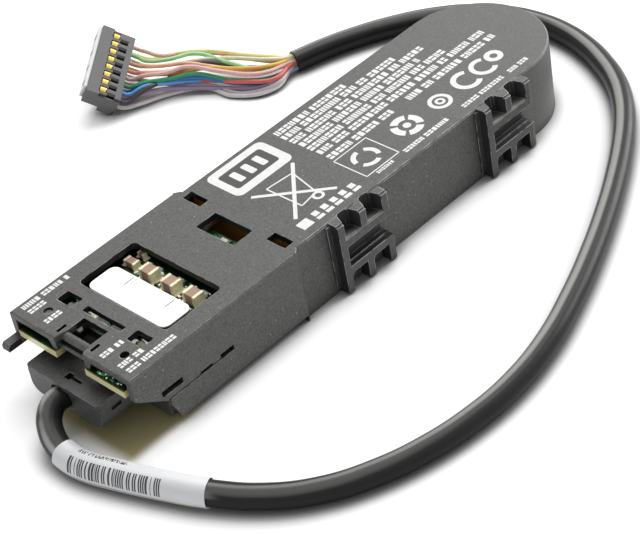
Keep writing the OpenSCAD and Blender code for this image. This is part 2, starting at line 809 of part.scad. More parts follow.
function rotate_x(p, a) = [p[0], p[1] * cos(a) - p[2] * sin(a), p[1] * sin(a) + p[2] * cos(a)];
function rotate_y(p, a) = [p[0] * cos(a) + p[2] * sin(a), p[1], -p[0] * sin(a) + p[2] * cos(a)];
function rotate_z(p, a) = [p[0] * cos(a) - p[1] * sin(a), p[0] * sin(a) + p[1] * cos(a), p[2]];
function turned(p) = rotate_z(rotate_y(rotate_x(p, conn_turn[0]), conn_turn[1]), conn_turn[2]);
function in_connector(p) = conn_at + turned(p);

// The wires as one plain bundle that fans out from the sheath to the connector
function wire_ring(at, wide, deep, half_w, half_d) =
    [for (k = [0:9]) at + half_w * cos(36 * k) * wide + half_d * sin(36 * k) * deep];

module wire_bundle() {
    last = len(wire_route) - 1;
    end_wide = turned([1, 0, 0]);
    end_deep = turned([0, 0, 1]);
    color([0.8, 0.4, 0.3]) skin(concat(
        [for (i = [0:last])
            let (
                way = i == 0 ? heading(cable_route, len(cable_route) - 1) : heading(wire_route, i),
                t = i / (last + 1),
                wide = unit((1 - t) * unit(cross([0, 0, 1], way)) + t * end_wide),
                deep = unit(cross(way, wide))
            )
            wire_ring(wire_route[i], wide, deep,
                (1 - t) * cable_d * 0.42 + t * wire_spread, wire_depth + 0.3 * (1 - t))],
        [wire_ring(in_connector([conn_l / 2, conn_w, -conn_h / 2]),
            end_wide, end_deep, wire_spread, wire_depth)]
    ));
}

// Middle of each contact along the connector
function way_x(i) = conn_end_wall + (i + 0.5) * pitch;

// Housing with a row of open chambers, thinner at its mating side
module connector_housing() {
    chamber_w = 1.9;
    color([0.2, 0.2, 0.21]) at_connector() difference() {
        union() {
            translate([0, 0.8, -conn_thin]) cube([conn_l, conn_step, conn_thin]);
            translate([0, conn_step, -conn_h]) cube([conn_l, conn_w - conn_step, conn_h]);
        }
        for (i = [0:ways - 1]) {
            translate([way_x(i) - chamber_w / 2, contact_y - 0.2, -contact_sink])
                cube([chamber_w, contact_l + 0.4, 2]);
            // a gap with bevelled lips between this tooth and the next
            translate([way_x(i) + pitch / 2, contact_y + contact_l + 2.5, 0])
                rotate([90, 0, 0]) linear_extrude(2.1)
                    polygon([
                        [-0.9, eps], [-0.35, -0.5], [-0.35, -1.5], [0.35, -1.5],
                        [0.35, -0.5], [0.7, eps]
                    ]);
        }
        // the end walls are lower beside the teeth
        for (x = [-1, conn_l - 0.5])
            translate([x, contact_y, -0.7]) cube([1.5, conn_w, 2]);
        // the far end's lower corner is bevelled
        translate([conn_l, conn_w, -conn_h]) rotate([0, 0, 45])
            cube([1, 1, 3.6], center = true);
    }
}

// Pale mating face with a row of keyed holes
module connector_cap() {
    color([0.8, 0.81, 0.8]) at_connector() difference() {
        translate([0.6, 0, -conn_thin + 0.2]) cube([conn_l - 1.8, 0.8, conn_thin - 0.5]);
        for (i = [0:2:ways - 1])
            translate([way_x(i) + 0.8, -1, -3.3]) cube([1, 1.4, 2.4]);
    }
}

// Rolled barrels of the contacts, lying in their chambers
module connector_contacts() {
    color([0.9, 0.72, 0.25]) at_connector()
        for (i = [0:ways - 1])
            translate([way_x(i), contact_y, -contact_sink + contact_r]) rotate([-90, 0, 0])
                cylinder(r = contact_r, h = contact_l);
}

// ---------------------------------------------------------------- cells

// A button cell: a can with a rolled rim and a raised cap
module cell(stack, level) {
    r = cell_r;
    lip = 0.9;
    color([0.75, 0.76, 0.77]) from_nose()
        translate([cell_x[stack], 0, cell_z[level]]) rotate_extrude($fn = 96)
            polygon([
                [0, 0], [r - lip, 0],
                for (a = [-75:15:0]) [r - lip + lip * cos(a), lip + lip * sin(a)],
                [r, cell_h - 1.1],
                for (a = [15:15:90]) [r - 0.6 + 0.6 * cos(a), cell_h - 1.1 + 0.6 * sin(a)],
                [r - 1.6, cell_h - 0.5], [r - 1.8, cell_h - 0.9], [r - 2.4, cell_h - 0.9],
                [r - 3, cell_h], [0, cell_h]
            ]);
}

module cell_1() { cell(0, 0); }
module cell_2() { cell(0, 1); }
module cell_3() { cell(1, 0); }
module cell_4() { cell(1, 1); }

// Rings that keep two stacked cells apart at the rim
module insulating_rings() {
    color([0.85, 0.83, 0.75]) from_nose() for (x = cell_x)
        translate([x, 0, cell_z[0] + cell_h]) difference() {
            cylinder(r = cell_r - 3, h = ring_t);
            translate([0, 0, -1]) cylinder(r = cell_r - 7, h = ring_t + 2);
        }
}

// Nickel strap that joins the two stacks, with its rounded ends on the caps
module cell_straps() {
    half = 3;
    color([0.8, 0.8, 0.78]) from_nose() translate([0, 0, cells_top]) linear_extrude(strap_t) {
        translate([cell_x[1], -half]) square([cell_x[0] - cell_x[1], 2 * half]);
        for (x = cell_x) translate([x, 0]) circle(half);
    }
}

// Moulded holder in front of the cells, hollow, with a concave rear end
module cell_holder() {
    end_x = cell_x[1] - 9;
    half = tail_inner_r - fit;
    top = inner_top - 1;
    color([0.3, 0.3, 0.32]) from_nose() difference() {
        translate([pack_x, -half, base_t]) cube([end_x - pack_x, 2 * half, top - base_t]);
        translate([cell_x[1], 0, 0]) cylinder(r = cell_r + fine, h = body_h, $fn = 96);
        translate([pack_x + holder_wall, -half + holder_wall, base_t + holder_wall])
            cube([holder_end - pack_x - holder_wall, 2 * (half - holder_wall), body_h]);
    }
}

// Amber sheet round the pack's front face and over the holder
module insulation_sheet() {
    t = 0.25;
    half = tail_inner_r - fit;
    color([0.72, 0.42, 0.12]) from_nose() {
        translate([pack_x - t, -half, base_t]) cube([t, 2 * half, inner_top - 1 - base_t + t]);
        translate([pack_x - eps, -half, inner_top - 1]) cube([sheet_l, 2 * half, t]);
    }
}

// Foam between the cells and the top wall, resting on the strap
module foam_pad() {
    pad_r = cell_r - 5;
    low = cells_top + strap_t;
    color([0.14, 0.14, 0.15]) from_nose() translate([0, 0, low])
        linear_extrude(inner_top - low) {
            translate([cell_x[1], -pad_r]) square([cell_x[0] - cell_x[1], 2 * pad_r]);
            for (x = cell_x) translate([x, 0]) circle(pad_r);
        }
}

// Temperature sensor lying in the middle of the holder
module temperature_sensor() {
    color([0.1, 0.1, 0.12]) from_nose()
        translate([
            (pack_x + holder_wall + holder_end) / 2, -sensor_l / 2,
            base_t + holder_wall + sensor_r
        ]) rotate([-90, 0, 0]) cylinder(r = sensor_r, h = sensor_l);
}

// Nickel tabs from the pack to the board's rear edge
module battery_tabs() {
    end = pack_x - 0.25;
    start = board_l - board_out - tab_lap;
    color([0.8, 0.8, 0.78]) from_nose() for (y = [-tab_y, tab_y])
        slab(start, y, board_top, [end - start, tab_w, 0.25]);
}

top_cover();
base_cover();
circuit_board();
power_module();
module_label();
ceramic_capacitors();
board_chips();
lamp_lenses();
light_guide();
board_header();
header_pins();
plug_upper();
plug_lower();
cable_sheath();
cable_label();
wire_bundle();
connector_housing();
connector_cap();
connector_contacts();
cell_1();
cell_2();
cell_3();
cell_4();
insulating_rings();
cell_straps();
cell_holder();
insulation_sheet();
foam_pad();
temperature_sensor();
battery_tabs();
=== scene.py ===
# %% [markdown]
# # A backup battery module, dressed in Blender
# The module is a flat housing of dark moulded plastic. A circuit board shows through
# windows in its nose, and a round cable runs from a plug under the nose to a small
# connector. Its exact solids come from CAD and stay where they are. This lesson gives
# them their finish and adds what is too fine for the solids. The solids could be
# modelled again here, but then they would drift from the part that the physics uses.

# %% Load the solids
import math
import random

import bmesh
import bpy
from mathutils import Matrix, Vector


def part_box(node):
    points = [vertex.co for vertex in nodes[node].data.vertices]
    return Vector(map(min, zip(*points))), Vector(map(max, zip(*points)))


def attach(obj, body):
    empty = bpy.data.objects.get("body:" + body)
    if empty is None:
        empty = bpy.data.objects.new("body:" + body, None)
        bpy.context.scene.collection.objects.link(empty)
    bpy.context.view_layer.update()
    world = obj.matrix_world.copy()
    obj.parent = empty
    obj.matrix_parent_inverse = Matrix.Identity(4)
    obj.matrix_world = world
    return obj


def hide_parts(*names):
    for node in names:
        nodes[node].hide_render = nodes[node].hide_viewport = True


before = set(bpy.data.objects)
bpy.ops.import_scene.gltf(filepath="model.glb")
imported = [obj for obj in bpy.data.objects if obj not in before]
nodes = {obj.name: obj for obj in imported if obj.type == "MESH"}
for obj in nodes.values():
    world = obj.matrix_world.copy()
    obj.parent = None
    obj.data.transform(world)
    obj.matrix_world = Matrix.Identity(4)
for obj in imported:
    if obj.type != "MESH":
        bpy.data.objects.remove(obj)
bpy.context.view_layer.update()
MM = 0.001  # the part's sizes are thought of in millimetres, and Blender works in metres

# %% [markdown]
# ## The camera
# A long lens from a little over a third of a metre away keeps the housing's edges nearly
# parallel. The camera stands in front of the nose, to the right, and looks down at about
# 39 degrees. It could be aimed with a Track To constraint. Three axes written out are
# exact and need no helper object.

# %% Camera
lens = bpy.data.cameras.new("eye")
lens.lens = 112.3
lens.sensor_width = 36
lens.clip_start = 0.01
camera = bpy.data.objects.new("eye", lens)
bpy.context.scene.collection.objects.link(camera)
axes = Matrix(
    (
        Vector((0.68468, -0.71215, -0.15509)),
        Vector((0.53884, 0.35130, 0.76567)),
        Vector((-0.49078, -0.60781, 0.62426)),
    )
).transposed()
camera.matrix_world = Matrix.Translation(Vector((-224.65, -273.73, 272.68)) * MM) @ axes.to_4x4()
bpy.context.scene.camera = camera
bpy.context.scene.view_settings.view_transform = "Standard"
print("camera stands", round(camera.location.length, 3), "m from the middle of the base")

# %% [markdown]
# ## The cable
# The cable is one length of round black sheath. It leaves the plug, drops to the table
# within a few diameters and sweeps once round the housing. It could be a swept mesh, but
# a Bezier curve with automatic handles goes smoothly through every point and carries its
# own round section. The points are the route of the solid that it stands for.

# %% Cable route
CABLE_D = 5.4 * MM
OUTLET = Vector((-74.6, 1.2, 7.1)) * MM
FLOOR_Z = CABLE_D / 2
PLAN = [
    (0, 1.2, 1), (-2.8, 1.2, 1), (-5.6, 0, 0.8), (-7.7, -2.5, 0.5), (-9, -5.8, 0.24),
    (-9.4, -9.6, 0.1), (-9, -14, 0.07), (-6.7, -22, 0.06), (-3.3, -31.5, 0.06),
    (0.5, -40.5, 0.06), (5.9, -49.5, 0.02), (13.7, -57.5, 0), (24, -63.5, 0),
    (35, -67.2, 0), (46, -69, 0), (57, -69.2, 0), (70, -67.2, 0), (84, -62.8, 0),
    (98, -57.2, 0), (110.5, -51.4, 0), (120.5, -46.2, 0), (129.5, -41, 0),
    (137.5, -35.7, 0), (144.5, -30, 0), (150.5, -23.5, 0), (155.2, -16.2, 0),
    (158.8, -8.4, 0), (161, 0, 0), (161.4, 8.6, 0), (159.8, 17.4, 0), (156, 25.6, 0),
    (150, 33, 0), (142, 39.5, 0), (132.5, 45, 0), (125, 48.2, 0), (117, 50.7, 0),
]
route = [
    Vector((OUTLET.x + x * MM, y * MM, FLOOR_Z + drop * (OUTLET.z - FLOOR_Z)))
    for x, y, drop in PLAN
]


def run(points):
    """Length of the line through the points."""
    return sum((b - a).length for a, b in zip(points, points[1:]))


print("the cable is", round(run(route), 3), "m long")

# %% Curve helper
collection = bpy.context.scene.collection


def round_curve(name, points, diameter, turns=6, around=6):
    """A round cord on one smooth spline through the points."""
    data = bpy.data.curves.new(name, "CURVE")
    data.dimensions = "3D"
    data.bevel_depth = 1.0 if diameter else 0.0  # the knots' own radius scales it
    data.bevel_resolution = around
    data.resolution_u = turns
    data.use_fill_caps = True
    spline = data.splines.new("BEZIER")
    spline.bezier_points.add(len(points) - 1)
    for knot, point in zip(spline.bezier_points, points):
        knot.co = point
        knot.radius = diameter / 2
        knot.handle_left_type = knot.handle_right_type = "AUTO"
    made = bpy.data.objects.new(name, data)
    collection.objects.link(made)
    return made


def smooth_line(points, turns=6):
    """The points that a smooth curve through these points passes."""
    probe = round_curve("probe", points, 0, turns)
    bpy.context.view_layer.update()
    mesh = probe.to_mesh()
    line = [v.co.copy() for v in mesh.vertices]
    probe.to_mesh_clear()
    bpy.data.objects.remove(probe)
    return line


cable = round_curve("cable", route, CABLE_D, 8, 10)
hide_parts("cable_sheath")
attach(cable, "root")
print("the curve has", len(route), "knots")

# %% [markdown]
# ## The label on the cable
# A white vinyl flag is wrapped round the sheath just past the plug, with a bar pattern on
# its outside and its overlap as a fine line along the lower side, where a grey row of painted
# shade marks the gap under it. It could be a texture on the cable. A sleeve of its own keeps
# the step at both ends, and because its grid is fine enough along the cable, whole columns
# of faces can take the dark ink.

# %% Cable label
LABEL_T = 0.25 * MM
LABEL_COLUMNS, LABEL_ROWS, FLAP_ROWS = 210, 40, 3
SEAM_TURN = 2.4  # radians round the cable from the top to the seam
FLAP = 1.2 * MM  # how far the overlap stands off
BARS_ALONG, BAR_ROWS = (0.12, 0.74), range(5, 13)
TEXT_ALONG, TEXT_ROWS = (0.13, 0.48), range(16, 18)
TURNS = 24  # points between two knots of the route
LABEL_START, LABEL_END = 110, 9 * TURNS  # counted in these points
label_line = smooth_line(route, TURNS)[LABEL_START : LABEL_END + 1]
label_run = run(label_line)


def along(line, share):
    """Point and direction at a share of a line's length."""
    goal, gone = share * run(line), 0.0
    for a, b in zip(line, line[1:]):
        stride = (b - a).length
        if gone + stride >= goal or b is line[-1]:
            return a.lerp(b, min((goal - gone) / max(stride, 1e-12), 1.0)), (b - a).normalized()
        gone += stride


sleeve = bmesh.new()
bmesh.ops.create_grid(sleeve, x_segments=LABEL_COLUMNS, y_segments=LABEL_ROWS, size=0.5)
frames = {}
for vert in sleeve.verts:
    share, row = vert.co.x + 0.5, (vert.co.y + 0.5) * LABEL_ROWS
    key = round(share * LABEL_COLUMNS)
    if key not in frames:
        middle, way = along(label_line, key / LABEL_COLUMNS)
        side = Vector((0, 0, 1)).cross(way).normalized()
        frames[key] = (middle, side, way.cross(side))
    middle, side, rise = frames[key]
    turn = max(row, FLAP_ROWS) * 2 * math.pi / LABEL_ROWS - SEAM_TURN
    # the flag is wrapped by hand, so it is not quite round
    radius = CABLE_D / 2 + LABEL_T * (1.2 + 0.4 * math.sin(2.5 * turn) ** 2)
    vert.co = middle + radius * (math.sin(turn) * side + math.cos(turn) * rise)
    if row < FLAP_ROWS:  # the stuck-down end stands off as a narrow flap
        reach = (1 - row / FLAP_ROWS) * FLAP * (1 - 0.6 * share)
        vert.co += reach * (math.sin(turn) * rise - math.cos(turn) * side)
    vert.co.z = max(vert.co.z, 0.04 * MM)  # and it stays above the table
label_random = random.Random(5)
bars, column = [], int(BARS_ALONG[0] * LABEL_COLUMNS)
while column < BARS_ALONG[1] * LABEL_COLUMNS:
    wide = label_random.choice((1, 2, 2, 2, 3))
    bars.append((column, column + wide))
    column += wide + label_random.choice((1, 1, 1, 3, 4))
sleeve.faces.ensure_lookup_table()
for number, face in enumerate(sleeve.faces):
    row, column = divmod(number, LABEL_COLUMNS)
    face.smooth = True
    inked = any(a <= column < b for a, b in bars) and row in BAR_ROWS
    beside = row in TEXT_ROWS and TEXT_ALONG[0] < column / LABEL_COLUMNS < TEXT_ALONG[1]
    small = beside and label_random.random() < 0.45
    # the row where the flap leaves the cable takes painted shade, for the gap under the overlap
    face.material_index = 1 if inked or small else 2 if row == FLAP_ROWS - 1 else 0
print("label:", round(label_run / MM, 1), "mm long,", len(bars), "bars")


# %% Mesh helper
def finished(name, bm, materials=(), replaces=()):
    """A bmesh as a piece of the object: named, riding on the frame and with its finish."""
    mesh = bpy.data.meshes.new(name)
    bm.to_mesh(mesh)
    bm.free()
    made = bpy.data.objects.new(name, mesh)
    collection.objects.link(made)
    for material in materials:
        mesh.materials.append(material)
    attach(made, "root")
    if replaces:
        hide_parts(*replaces)
    return made


cable_label = finished("label_sleeve", sleeve, replaces=["cable_label"])
thickness = cable_label.modifiers.new("vinyl", "SOLIDIFY")
thickness.thickness = 0.2 * MM
thickness.offset = -1

# %% [markdown]
# ## The wires
# Past the end of the sheath the cable opens into a bundle of thin coloured wires that
# wander, cross and end in the connector's wire side. A particle or hair system would give
# even strands. A curve each, with a few listed knots, lets every wire keep its own colour,
# its own slack and its own place in the row.

# %% Wires
WIRE_D = 1.1 * MM
sheath_end = route[-1]
sheath_way = (route[-1] - route[-2]).normalized()
CONNECTOR_AT = Vector((16.6, 91.6, 15.09)) * MM
ROW = Vector((-0.808, -0.545, -0.225)).normalized()
OUTWARD = Vector((0.568, -0.617, -0.545)).normalized()
FACE = Vector((0.158, -0.568, 0.808)).normalized()
PITCH = 2.54 * MM
END_WALL, WIRE_SIDE = 0.74 * MM, 9 * MM  # from the connector's corner
ROOT, LEAD, STRAIGHT = 1.5, 1.2, 2.2  # inside the sheath, out of it, before the connector
SPREAD = 0.8  # the step of the places in the sheath's end


def entry(number, drop):
    """Where a wire enters the connector: its number along the row and its depth."""
    along_row = END_WALL + (number + 0.5) * PITCH
    return CONNECTOR_AT + along_row * ROW + WIRE_SIDE * OUTWARD - drop * MM * FACE


# name, number in the row, depth, place in the sheath's end, knots from connector to sheath
WIRES = [
    ("pink_thin", 0, 1.8, (0.9, 0.6),
     [(20.5, 81, 8), (22.5, 78.5, 6.5), (27.5, 76, 5), (33, 67.5, 4.8), (37, 57, 4)]),
    ("light_green", 1, 1.8, (0.2, 0.2),
     [(18.5, 78.5, 7.2), (22, 75, 6.8), (28.5, 71.5, 6), (31, 62.5, 5), (35, 53, 3.8)]),
    ("cream", 1, 4.0, (0.6, 1.8),
     [(18, 78.5, 6), (22, 74, 5.6), (26.5, 71, 5.2), (32.5, 62.5, 5.4), (37, 55, 5)]),
    ("apricot", 2, 2.0, (0.4, -0.4),
     [(17, 77, 7), (19.5, 73.5, 7), (23.5, 71, 6.2), (27.5, 65, 5), (32.5, 54.5, 4)]),
    ("salmon", 3, 2.0, (0.9, 1.2),
     [(15.5, 76.5, 6.2), (19, 72.5, 5.8), (25, 70, 4.6), (33, 64, 5.0), (38, 55.5, 4.8)]),
    ("pink", 4, 1.8, (-0.6, 0.7),
     [(14.5, 76, 6), (18, 71.5, 6.4), (22.5, 68.5, 6.6), (26.5, 61, 5.6), (31.5, 52.5, 4.8)]),
    ("dark_green", 5, 1.8, (-1.4, -1.2),
     [(13, 75, 5), (18.5, 70, 5), (23, 66.2, 5), (27.6, 58.9, 3.2), (34.2, 52.4, 1.8)]),
    ("blue", 5, 4.2, (-0.4, -1.8),
     [(12.5, 75.5, 4), (18, 71, 4), (23, 66, 4), (28.4, 57.4, 2.2), (34.6, 51.8, 1.2)]),
    ("sky_blue", 6, 1.8, (-1.5, -1.6),
     [(12.5, 74, 4.6), (17, 71, 4), (22, 67.5, 3), (28, 60.8, 1.9), (35.8, 51.6, 1)]),
    ("black", 7, 2.0, (0, 0),
     [(10.5, 73.5, 4), (13.6, 72, 4.9), (18.2, 73.6, 2.8), (23.6, 71.6, 4.2), (27.4, 66.8, 5.6),
      (32.2, 61.4, 3.4), (37, 55, 2.8)]),
    ("violet", 6, 4.2, (-1.6, -1.4),
     [(10, 75, 3), (15, 71.8, 3), (19.5, 68.5, 2), (25, 61, 1.4), (32, 50.5, 1.6)]),
    ("white", 7, 4.2, (-0.8, -1.9),
     [(9.5, 73.5, 1.4), (17, 70.5, 0.9), (24, 64.5, 0.8), (25.5, 55.5, 0.8), (32.5, 48.5, 1.2)]),
    ("yellow", 0, 4.2, (1.5, 1.6),
     [(22, 80.5, 5), (26, 77.5, 5.2), (31, 70, 5.8), (35.5, 60, 5.4), (39, 54.5, 4.8)]),
    ("orange", 2, 4.2, (0.1, 1.2),
     [(17, 78, 4.4), (22, 72, 3.8), (26.5, 66, 4.8), (30.5, 57.5, 5.2), (35.5, 52.5, 4.8)]),
    ("red", 4, 4.2, (-1.0, 0.1),
     [(15, 75.5, 3.4), (20.5, 70, 3), (25.5, 63, 2.6), (28.8, 53.8, 3.6), (33.6, 49.2, 3.2)]),
    ("grey", 3, 4.2, (-1.2, -1.0),
     [(15.5, 76.5, 3.6), (20.5, 69.5, 2), (25, 63, 1.4), (27, 54.5, 1), (33.5, 48.5, 2)]),
]
end_side = Vector((0, 0, 1)).cross(sheath_way).normalized()
wires = []
for name, number, drop, (sideways, rise), knots in WIRES:
    inner = sheath_end + (SPREAD * -sideways * end_side + SPREAD * Vector((0, 0, rise))) * MM
    points = [inner - ROOT * MM * sheath_way, inner + LEAD * MM * sheath_way]
    points += [Vector(k) * MM for k in reversed(knots)]
    points += [entry(number, drop) + STRAIGHT * MM * OUTWARD, entry(number, drop)]
    wire = round_curve("wire_" + name, points, WIRE_D, 8, 3)
    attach(wire, "root")
    wires.append(wire)
    run(smooth_line(points, 8))
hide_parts("wire_bundle")
print(len(wires), "wires, the last", round(run(smooth_line(points)) / MM), "mm long")

# %% [markdown]
# ## Shared effects
# Moulded plastic, vinyl and solder mask share a few effects: a fine grain, uneven colour,
# specks of dust, painted shade in hollows and painted highlights on edges. Each could be
# noise nodes repeated in every material. A node group built once, with named inputs, keeps
# them alike and easy to tune. A group puts out only masks, heights and normals, and the
# shader stays outside.


# %% Node helpers
def tree_node(tree, kind, **settings):
    """A new node with its settings."""
    made = tree.nodes.new(kind)
    for key, value in settings.items():
        setattr(made, key, value)
    return made


def feed(socket, value):
    """Gives a socket a value, or links it to another socket."""
    if isinstance(value, bpy.types.NodeSocket):
        socket.node.id_data.links.new(value, socket)
    else:
        socket.default_value = value


def effect(name, inputs, outputs):
    """An empty node group with float inputs and outputs."""
    tree = bpy.data.node_groups.new(name, "ShaderNodeTree")
    for label, value in inputs:
        socket = tree.interface.new_socket(label, in_out="INPUT", socket_type="NodeSocketFloat")
        socket.default_value = value
    for label, kind in outputs:
        tree.interface.new_socket(label, in_out="OUTPUT", socket_type=kind)
    return tree, tree.nodes.new("NodeGroupInput").outputs, tree.nodes.new("NodeGroupOutput").inputs


def place(tree):
    """The surface's own place, in metres."""
    return tree_node(tree, "ShaderNodeTexCoord").outputs["Object"]


def facing(tree):
    """The way the surface faces."""
    return tree_node(tree, "ShaderNodeNewGeometry").outputs["Normal"]


def split(vector):
    """The three parts of a vector."""
    made = tree_node(vector.node.id_data, "ShaderNodeSeparateXYZ")
    feed(made.inputs["Vector"], vector)
    return made.outputs


def dot(a, b):
    """How far two directions agree. The first one is a socket."""
    made = tree_node(a.node.id_data, "ShaderNodeVectorMath", operation="DOT_PRODUCT")
    feed(made.inputs[0], a)
    feed(made.inputs[1], b)
    return made.outputs["Value"]


def calc(operation, a, b=0.5, clamp=False):
    """One arithmetic node. At least one of its operands is a socket."""
    tree = (a if isinstance(a, bpy.types.NodeSocket) else b).node.id_data
    made = tree_node(tree, "ShaderNodeMath", operation=operation, use_clamp=clamp)
    feed(made.inputs[0], a)
    feed(made.inputs[1], b)
    return made.outputs[0]


def product(first, *others):
    """White where all the masks are, or a mask made weaker by a number."""
    for other in others:
        first = calc("MULTIPLY", first, other)
    return first


def flipped(mask):
    """White where the mask is black."""
    return calc("SUBTRACT", 1.0, mask)


def less(value, limit):
    return calc("LESS_THAN", value, limit)


def more(value, limit):
    return calc("GREATER_THAN", value, limit)


def between(value, low, high):
    """1 between two limits, and 0 outside them."""
    return product(more(value, low), less(value, high))


def step(value, low, high):
    """0 below low, 1 above high, and smooth between them."""
    made = tree_node(value.node.id_data, "ShaderNodeMapRange", interpolation_type="SMOOTHSTEP")
    for label, number in (("Value", value), ("From Min", low), ("From Max", high)):
        feed(made.inputs[label], number)
    return made.outputs["Result"]


def noise(tree, scale, detail=2.0, rough=0.5):
    """Soft noise over the surface."""
    made = tree_node(tree, "ShaderNodeTexNoise")
    settings = (("Vector", place(tree)), ("Scale", scale), ("Detail", detail), ("Roughness", rough))
    for label, value in settings:
        feed(made.inputs[label], value)
    return made.outputs["Fac"]


def open_sky(tree, reach, samples=8):
    """How much of what lies round a point is open, within reach."""
    made = tree_node(tree, "ShaderNodeAmbientOcclusion", samples=samples)
    feed(made.inputs["Distance"], reach)
    return made.outputs["AO"]


def in_view(tree):
    """White for what is seen straight, in a mirror or through glass."""
    sight = tree_node(tree, "ShaderNodeLightPath").outputs
    seen = calc("MAXIMUM", sight["Is Camera Ray"], sight["Is Glossy Ray"])
    return calc("MAXIMUM", seen, sight["Is Transmission Ray"])


# %% Grain, patches, dust, painted hollow shade and painted edge highlights
MASK = [("Mask", "NodeSocketFloat")]

tree, given, result = effect("fine grain", [("Scale", 5000)], [("Height", "NodeSocketFloat")])
feed(result["Height"], noise(tree, given["Scale"], 3.0, 0.6))

tree, given, result = effect("uneven colour", [("Scale", 120), ("Contrast", 1)], MASK)
broad = calc("SUBTRACT", noise(tree, given["Scale"], 4.0, 0.6), 0.5)
feed(result["Mask"], calc("ADD", product(broad, given["Contrast"]), 0.5, True))

tree, given, result = effect("dust specks", [("Scale", 900), ("Size", 0.12), ("Cover", 0.5)], MASK)
cells = tree_node(tree, "ShaderNodeTexVoronoi")
feed(cells.inputs["Vector"], place(tree))
feed(cells.inputs["Scale"], given["Scale"])
picked = tree_node(tree, "ShaderNodeSeparateColor")
feed(picked.inputs["Color"], cells.outputs["Color"])
near = less(cells.outputs["Distance"], given["Size"])
chosen = less(picked.outputs["Red"], given["Cover"])
feed(result["Mask"], product(near, chosen, picked.outputs["Green"]))

# painted shade: a mask that is white where little round a point is open
tree, given, result = effect("painted hollow shade", [("Reach", 0.005), ("Low", 0.3), ("High", 0.8)], MASK)
lit = step(open_sky(tree, given["Reach"]), given["Low"], given["High"])
feed(result["Mask"], flipped(lit))

tree, given, result = effect(
    "rounded edges with painted highlights", [("Radius", 0.0003), ("Strength", 1)], MASK + [("Normal", "NodeSocketVector")]
)
# painted highlights: a mask for convex edges, most of all those that face up, broken by noise
bevel = tree_node(tree, "ShaderNodeBevel", samples=6)
feed(bevel.inputs["Radius"], given["Radius"])
round_normal = bevel.outputs["Normal"]
at_edge = step(flipped(dot(round_normal, facing(tree))), 0.015, 0.11)
convex = step(open_sky(tree, 0.001, 6), 0.6, 0.85)  # an inner corner gets no painted highlight
broken = step(noise(tree, 420, 3), 0.36, 0.6)
lit_from_above = calc("ADD", product(step(split(round_normal)["Z"], 0.2, 0.55), 0.8), 0.2)
highlit_edge = product(at_edge, convex, broken, lit_from_above)
feed(result["Mask"], calc("MULTIPLY", highlit_edge, given["Strength"], True))
feed(result["Normal"], round_normal)
print("effects:", [tree.name for tree in bpy.data.node_groups])


# %% Material helpers
def shader_of(material):
    return material.node_tree.nodes["Principled BSDF"]


def surface(name, colour, roughness, metallic=0.0, specular=0.5, coat=0.0):
    """A material whose constants sit on the shader's own sockets."""
    made = bpy.data.materials.new(name)
    made.use_nodes = True
    sockets = shader_of(made).inputs
    sockets["Base Color"].default_value = (*colour, 1)
    sockets["Roughness"].default_value = roughness
    sockets["Metallic"].default_value = metallic
    sockets["Specular IOR Level"].default_value = specular
    sockets["Coat Weight"].default_value = coat
    made.diffuse_color = (*colour, 1)
    return made


def painted_glow(material, colour, strength):
    """Painted glow: a little light of its own, for tin, solder and white too small to catch a lamp.
    """
    sockets = shader_of(material).inputs
    sockets["Emission Color"].default_value = (*colour, 1)
    sockets["Emission Strength"].default_value = strength
    return material


def use(material, tree_name, **values):
    """Places a shared effect in a material with its own values."""
    made = material.node_tree.nodes.new("ShaderNodeGroup")
    made.node_tree = bpy.data.node_groups[tree_name]
    for label, value in values.items():
        feed(made.inputs[label], value)
    return made.outputs


def over(material, mask, colour):
    """Lays a colour over what the material has so far, where the mask is white."""
    target = shader_of(material).inputs["Base Color"]
    mix = tree_node(material.node_tree, "ShaderNodeMix", data_type="RGBA")
    feed(mix.inputs["A"], target.links[0].from_socket if target.is_linked else target.default_value)
    feed(mix.inputs["B"], (*colour, 1))
    feed(mix.inputs["Factor"], mask)
    feed(target, mix.outputs["Result"])
    return material


def uneven(material, colour, scale, contrast=1.0, roughness=None):
    """A second colour in soft patches, and with it a change of roughness."""
    mask = use(material, "uneven colour", Scale=scale, Contrast=contrast)["Mask"]
    over(material, mask, colour)
    if roughness:
        spread = tree_node(material.node_tree, "ShaderNodeMapRange")
        for label, value in zip(("Value", "To Min", "To Max"), (mask, *roughness)):
            feed(spread.inputs[label], value)
        feed(shader_of(material).inputs["Roughness"], spread.outputs["Result"])
    return material


def textured(material, scale, depth, radius=0.0, wear=None, strength=0.5):
    """Fine grain over rounded edges, with a painted highlight of another colour on the edges."""
    bump = tree_node(material.node_tree, "ShaderNodeBump")
    feed(bump.inputs["Distance"], depth)
    feed(bump.inputs["Strength"], 1.0)
    feed(bump.inputs["Height"], use(material, "fine grain", Scale=scale)["Height"])
    if radius:
        edges = use(material, "rounded edges with painted highlights", Radius=radius, Strength=strength)
        feed(bump.inputs["Normal"], edges["Normal"])
        if wear:
            over(material, edges["Mask"], wear)
    feed(shader_of(material).inputs["Normal"], bump.outputs["Normal"])
    return material


def shade_hollows(material, colour, reach=0.005, low=0.25, high=0.75):
    """Painted shade: recesses are painted towards a dark colour, darker than the lamps leave them.
    """
    hollow_shade = use(material, "painted hollow shade", Reach=reach, Low=low, High=high)["Mask"]
    return over(material, hollow_shade, colour)


def dusty(material, colour, scale, size, cover):
    """Specks of a paler colour."""
    specks = use(material, "dust specks", Scale=scale, Size=size, Cover=cover)["Mask"]
    return over(material, specks, colour)


def plain(name, colour, roughness, second, patches, grain, **kind):
    """A simple finish: a second colour in patches, and a fine grain over both."""
    return textured(uneven(surface(name, colour, roughness, **kind), second, *patches), *grain)


def dress(material, *names):
    """Gives CAD solids this finish."""
    for name in names:
        nodes[name].data.materials.clear()
        nodes[name].data.materials.append(material)
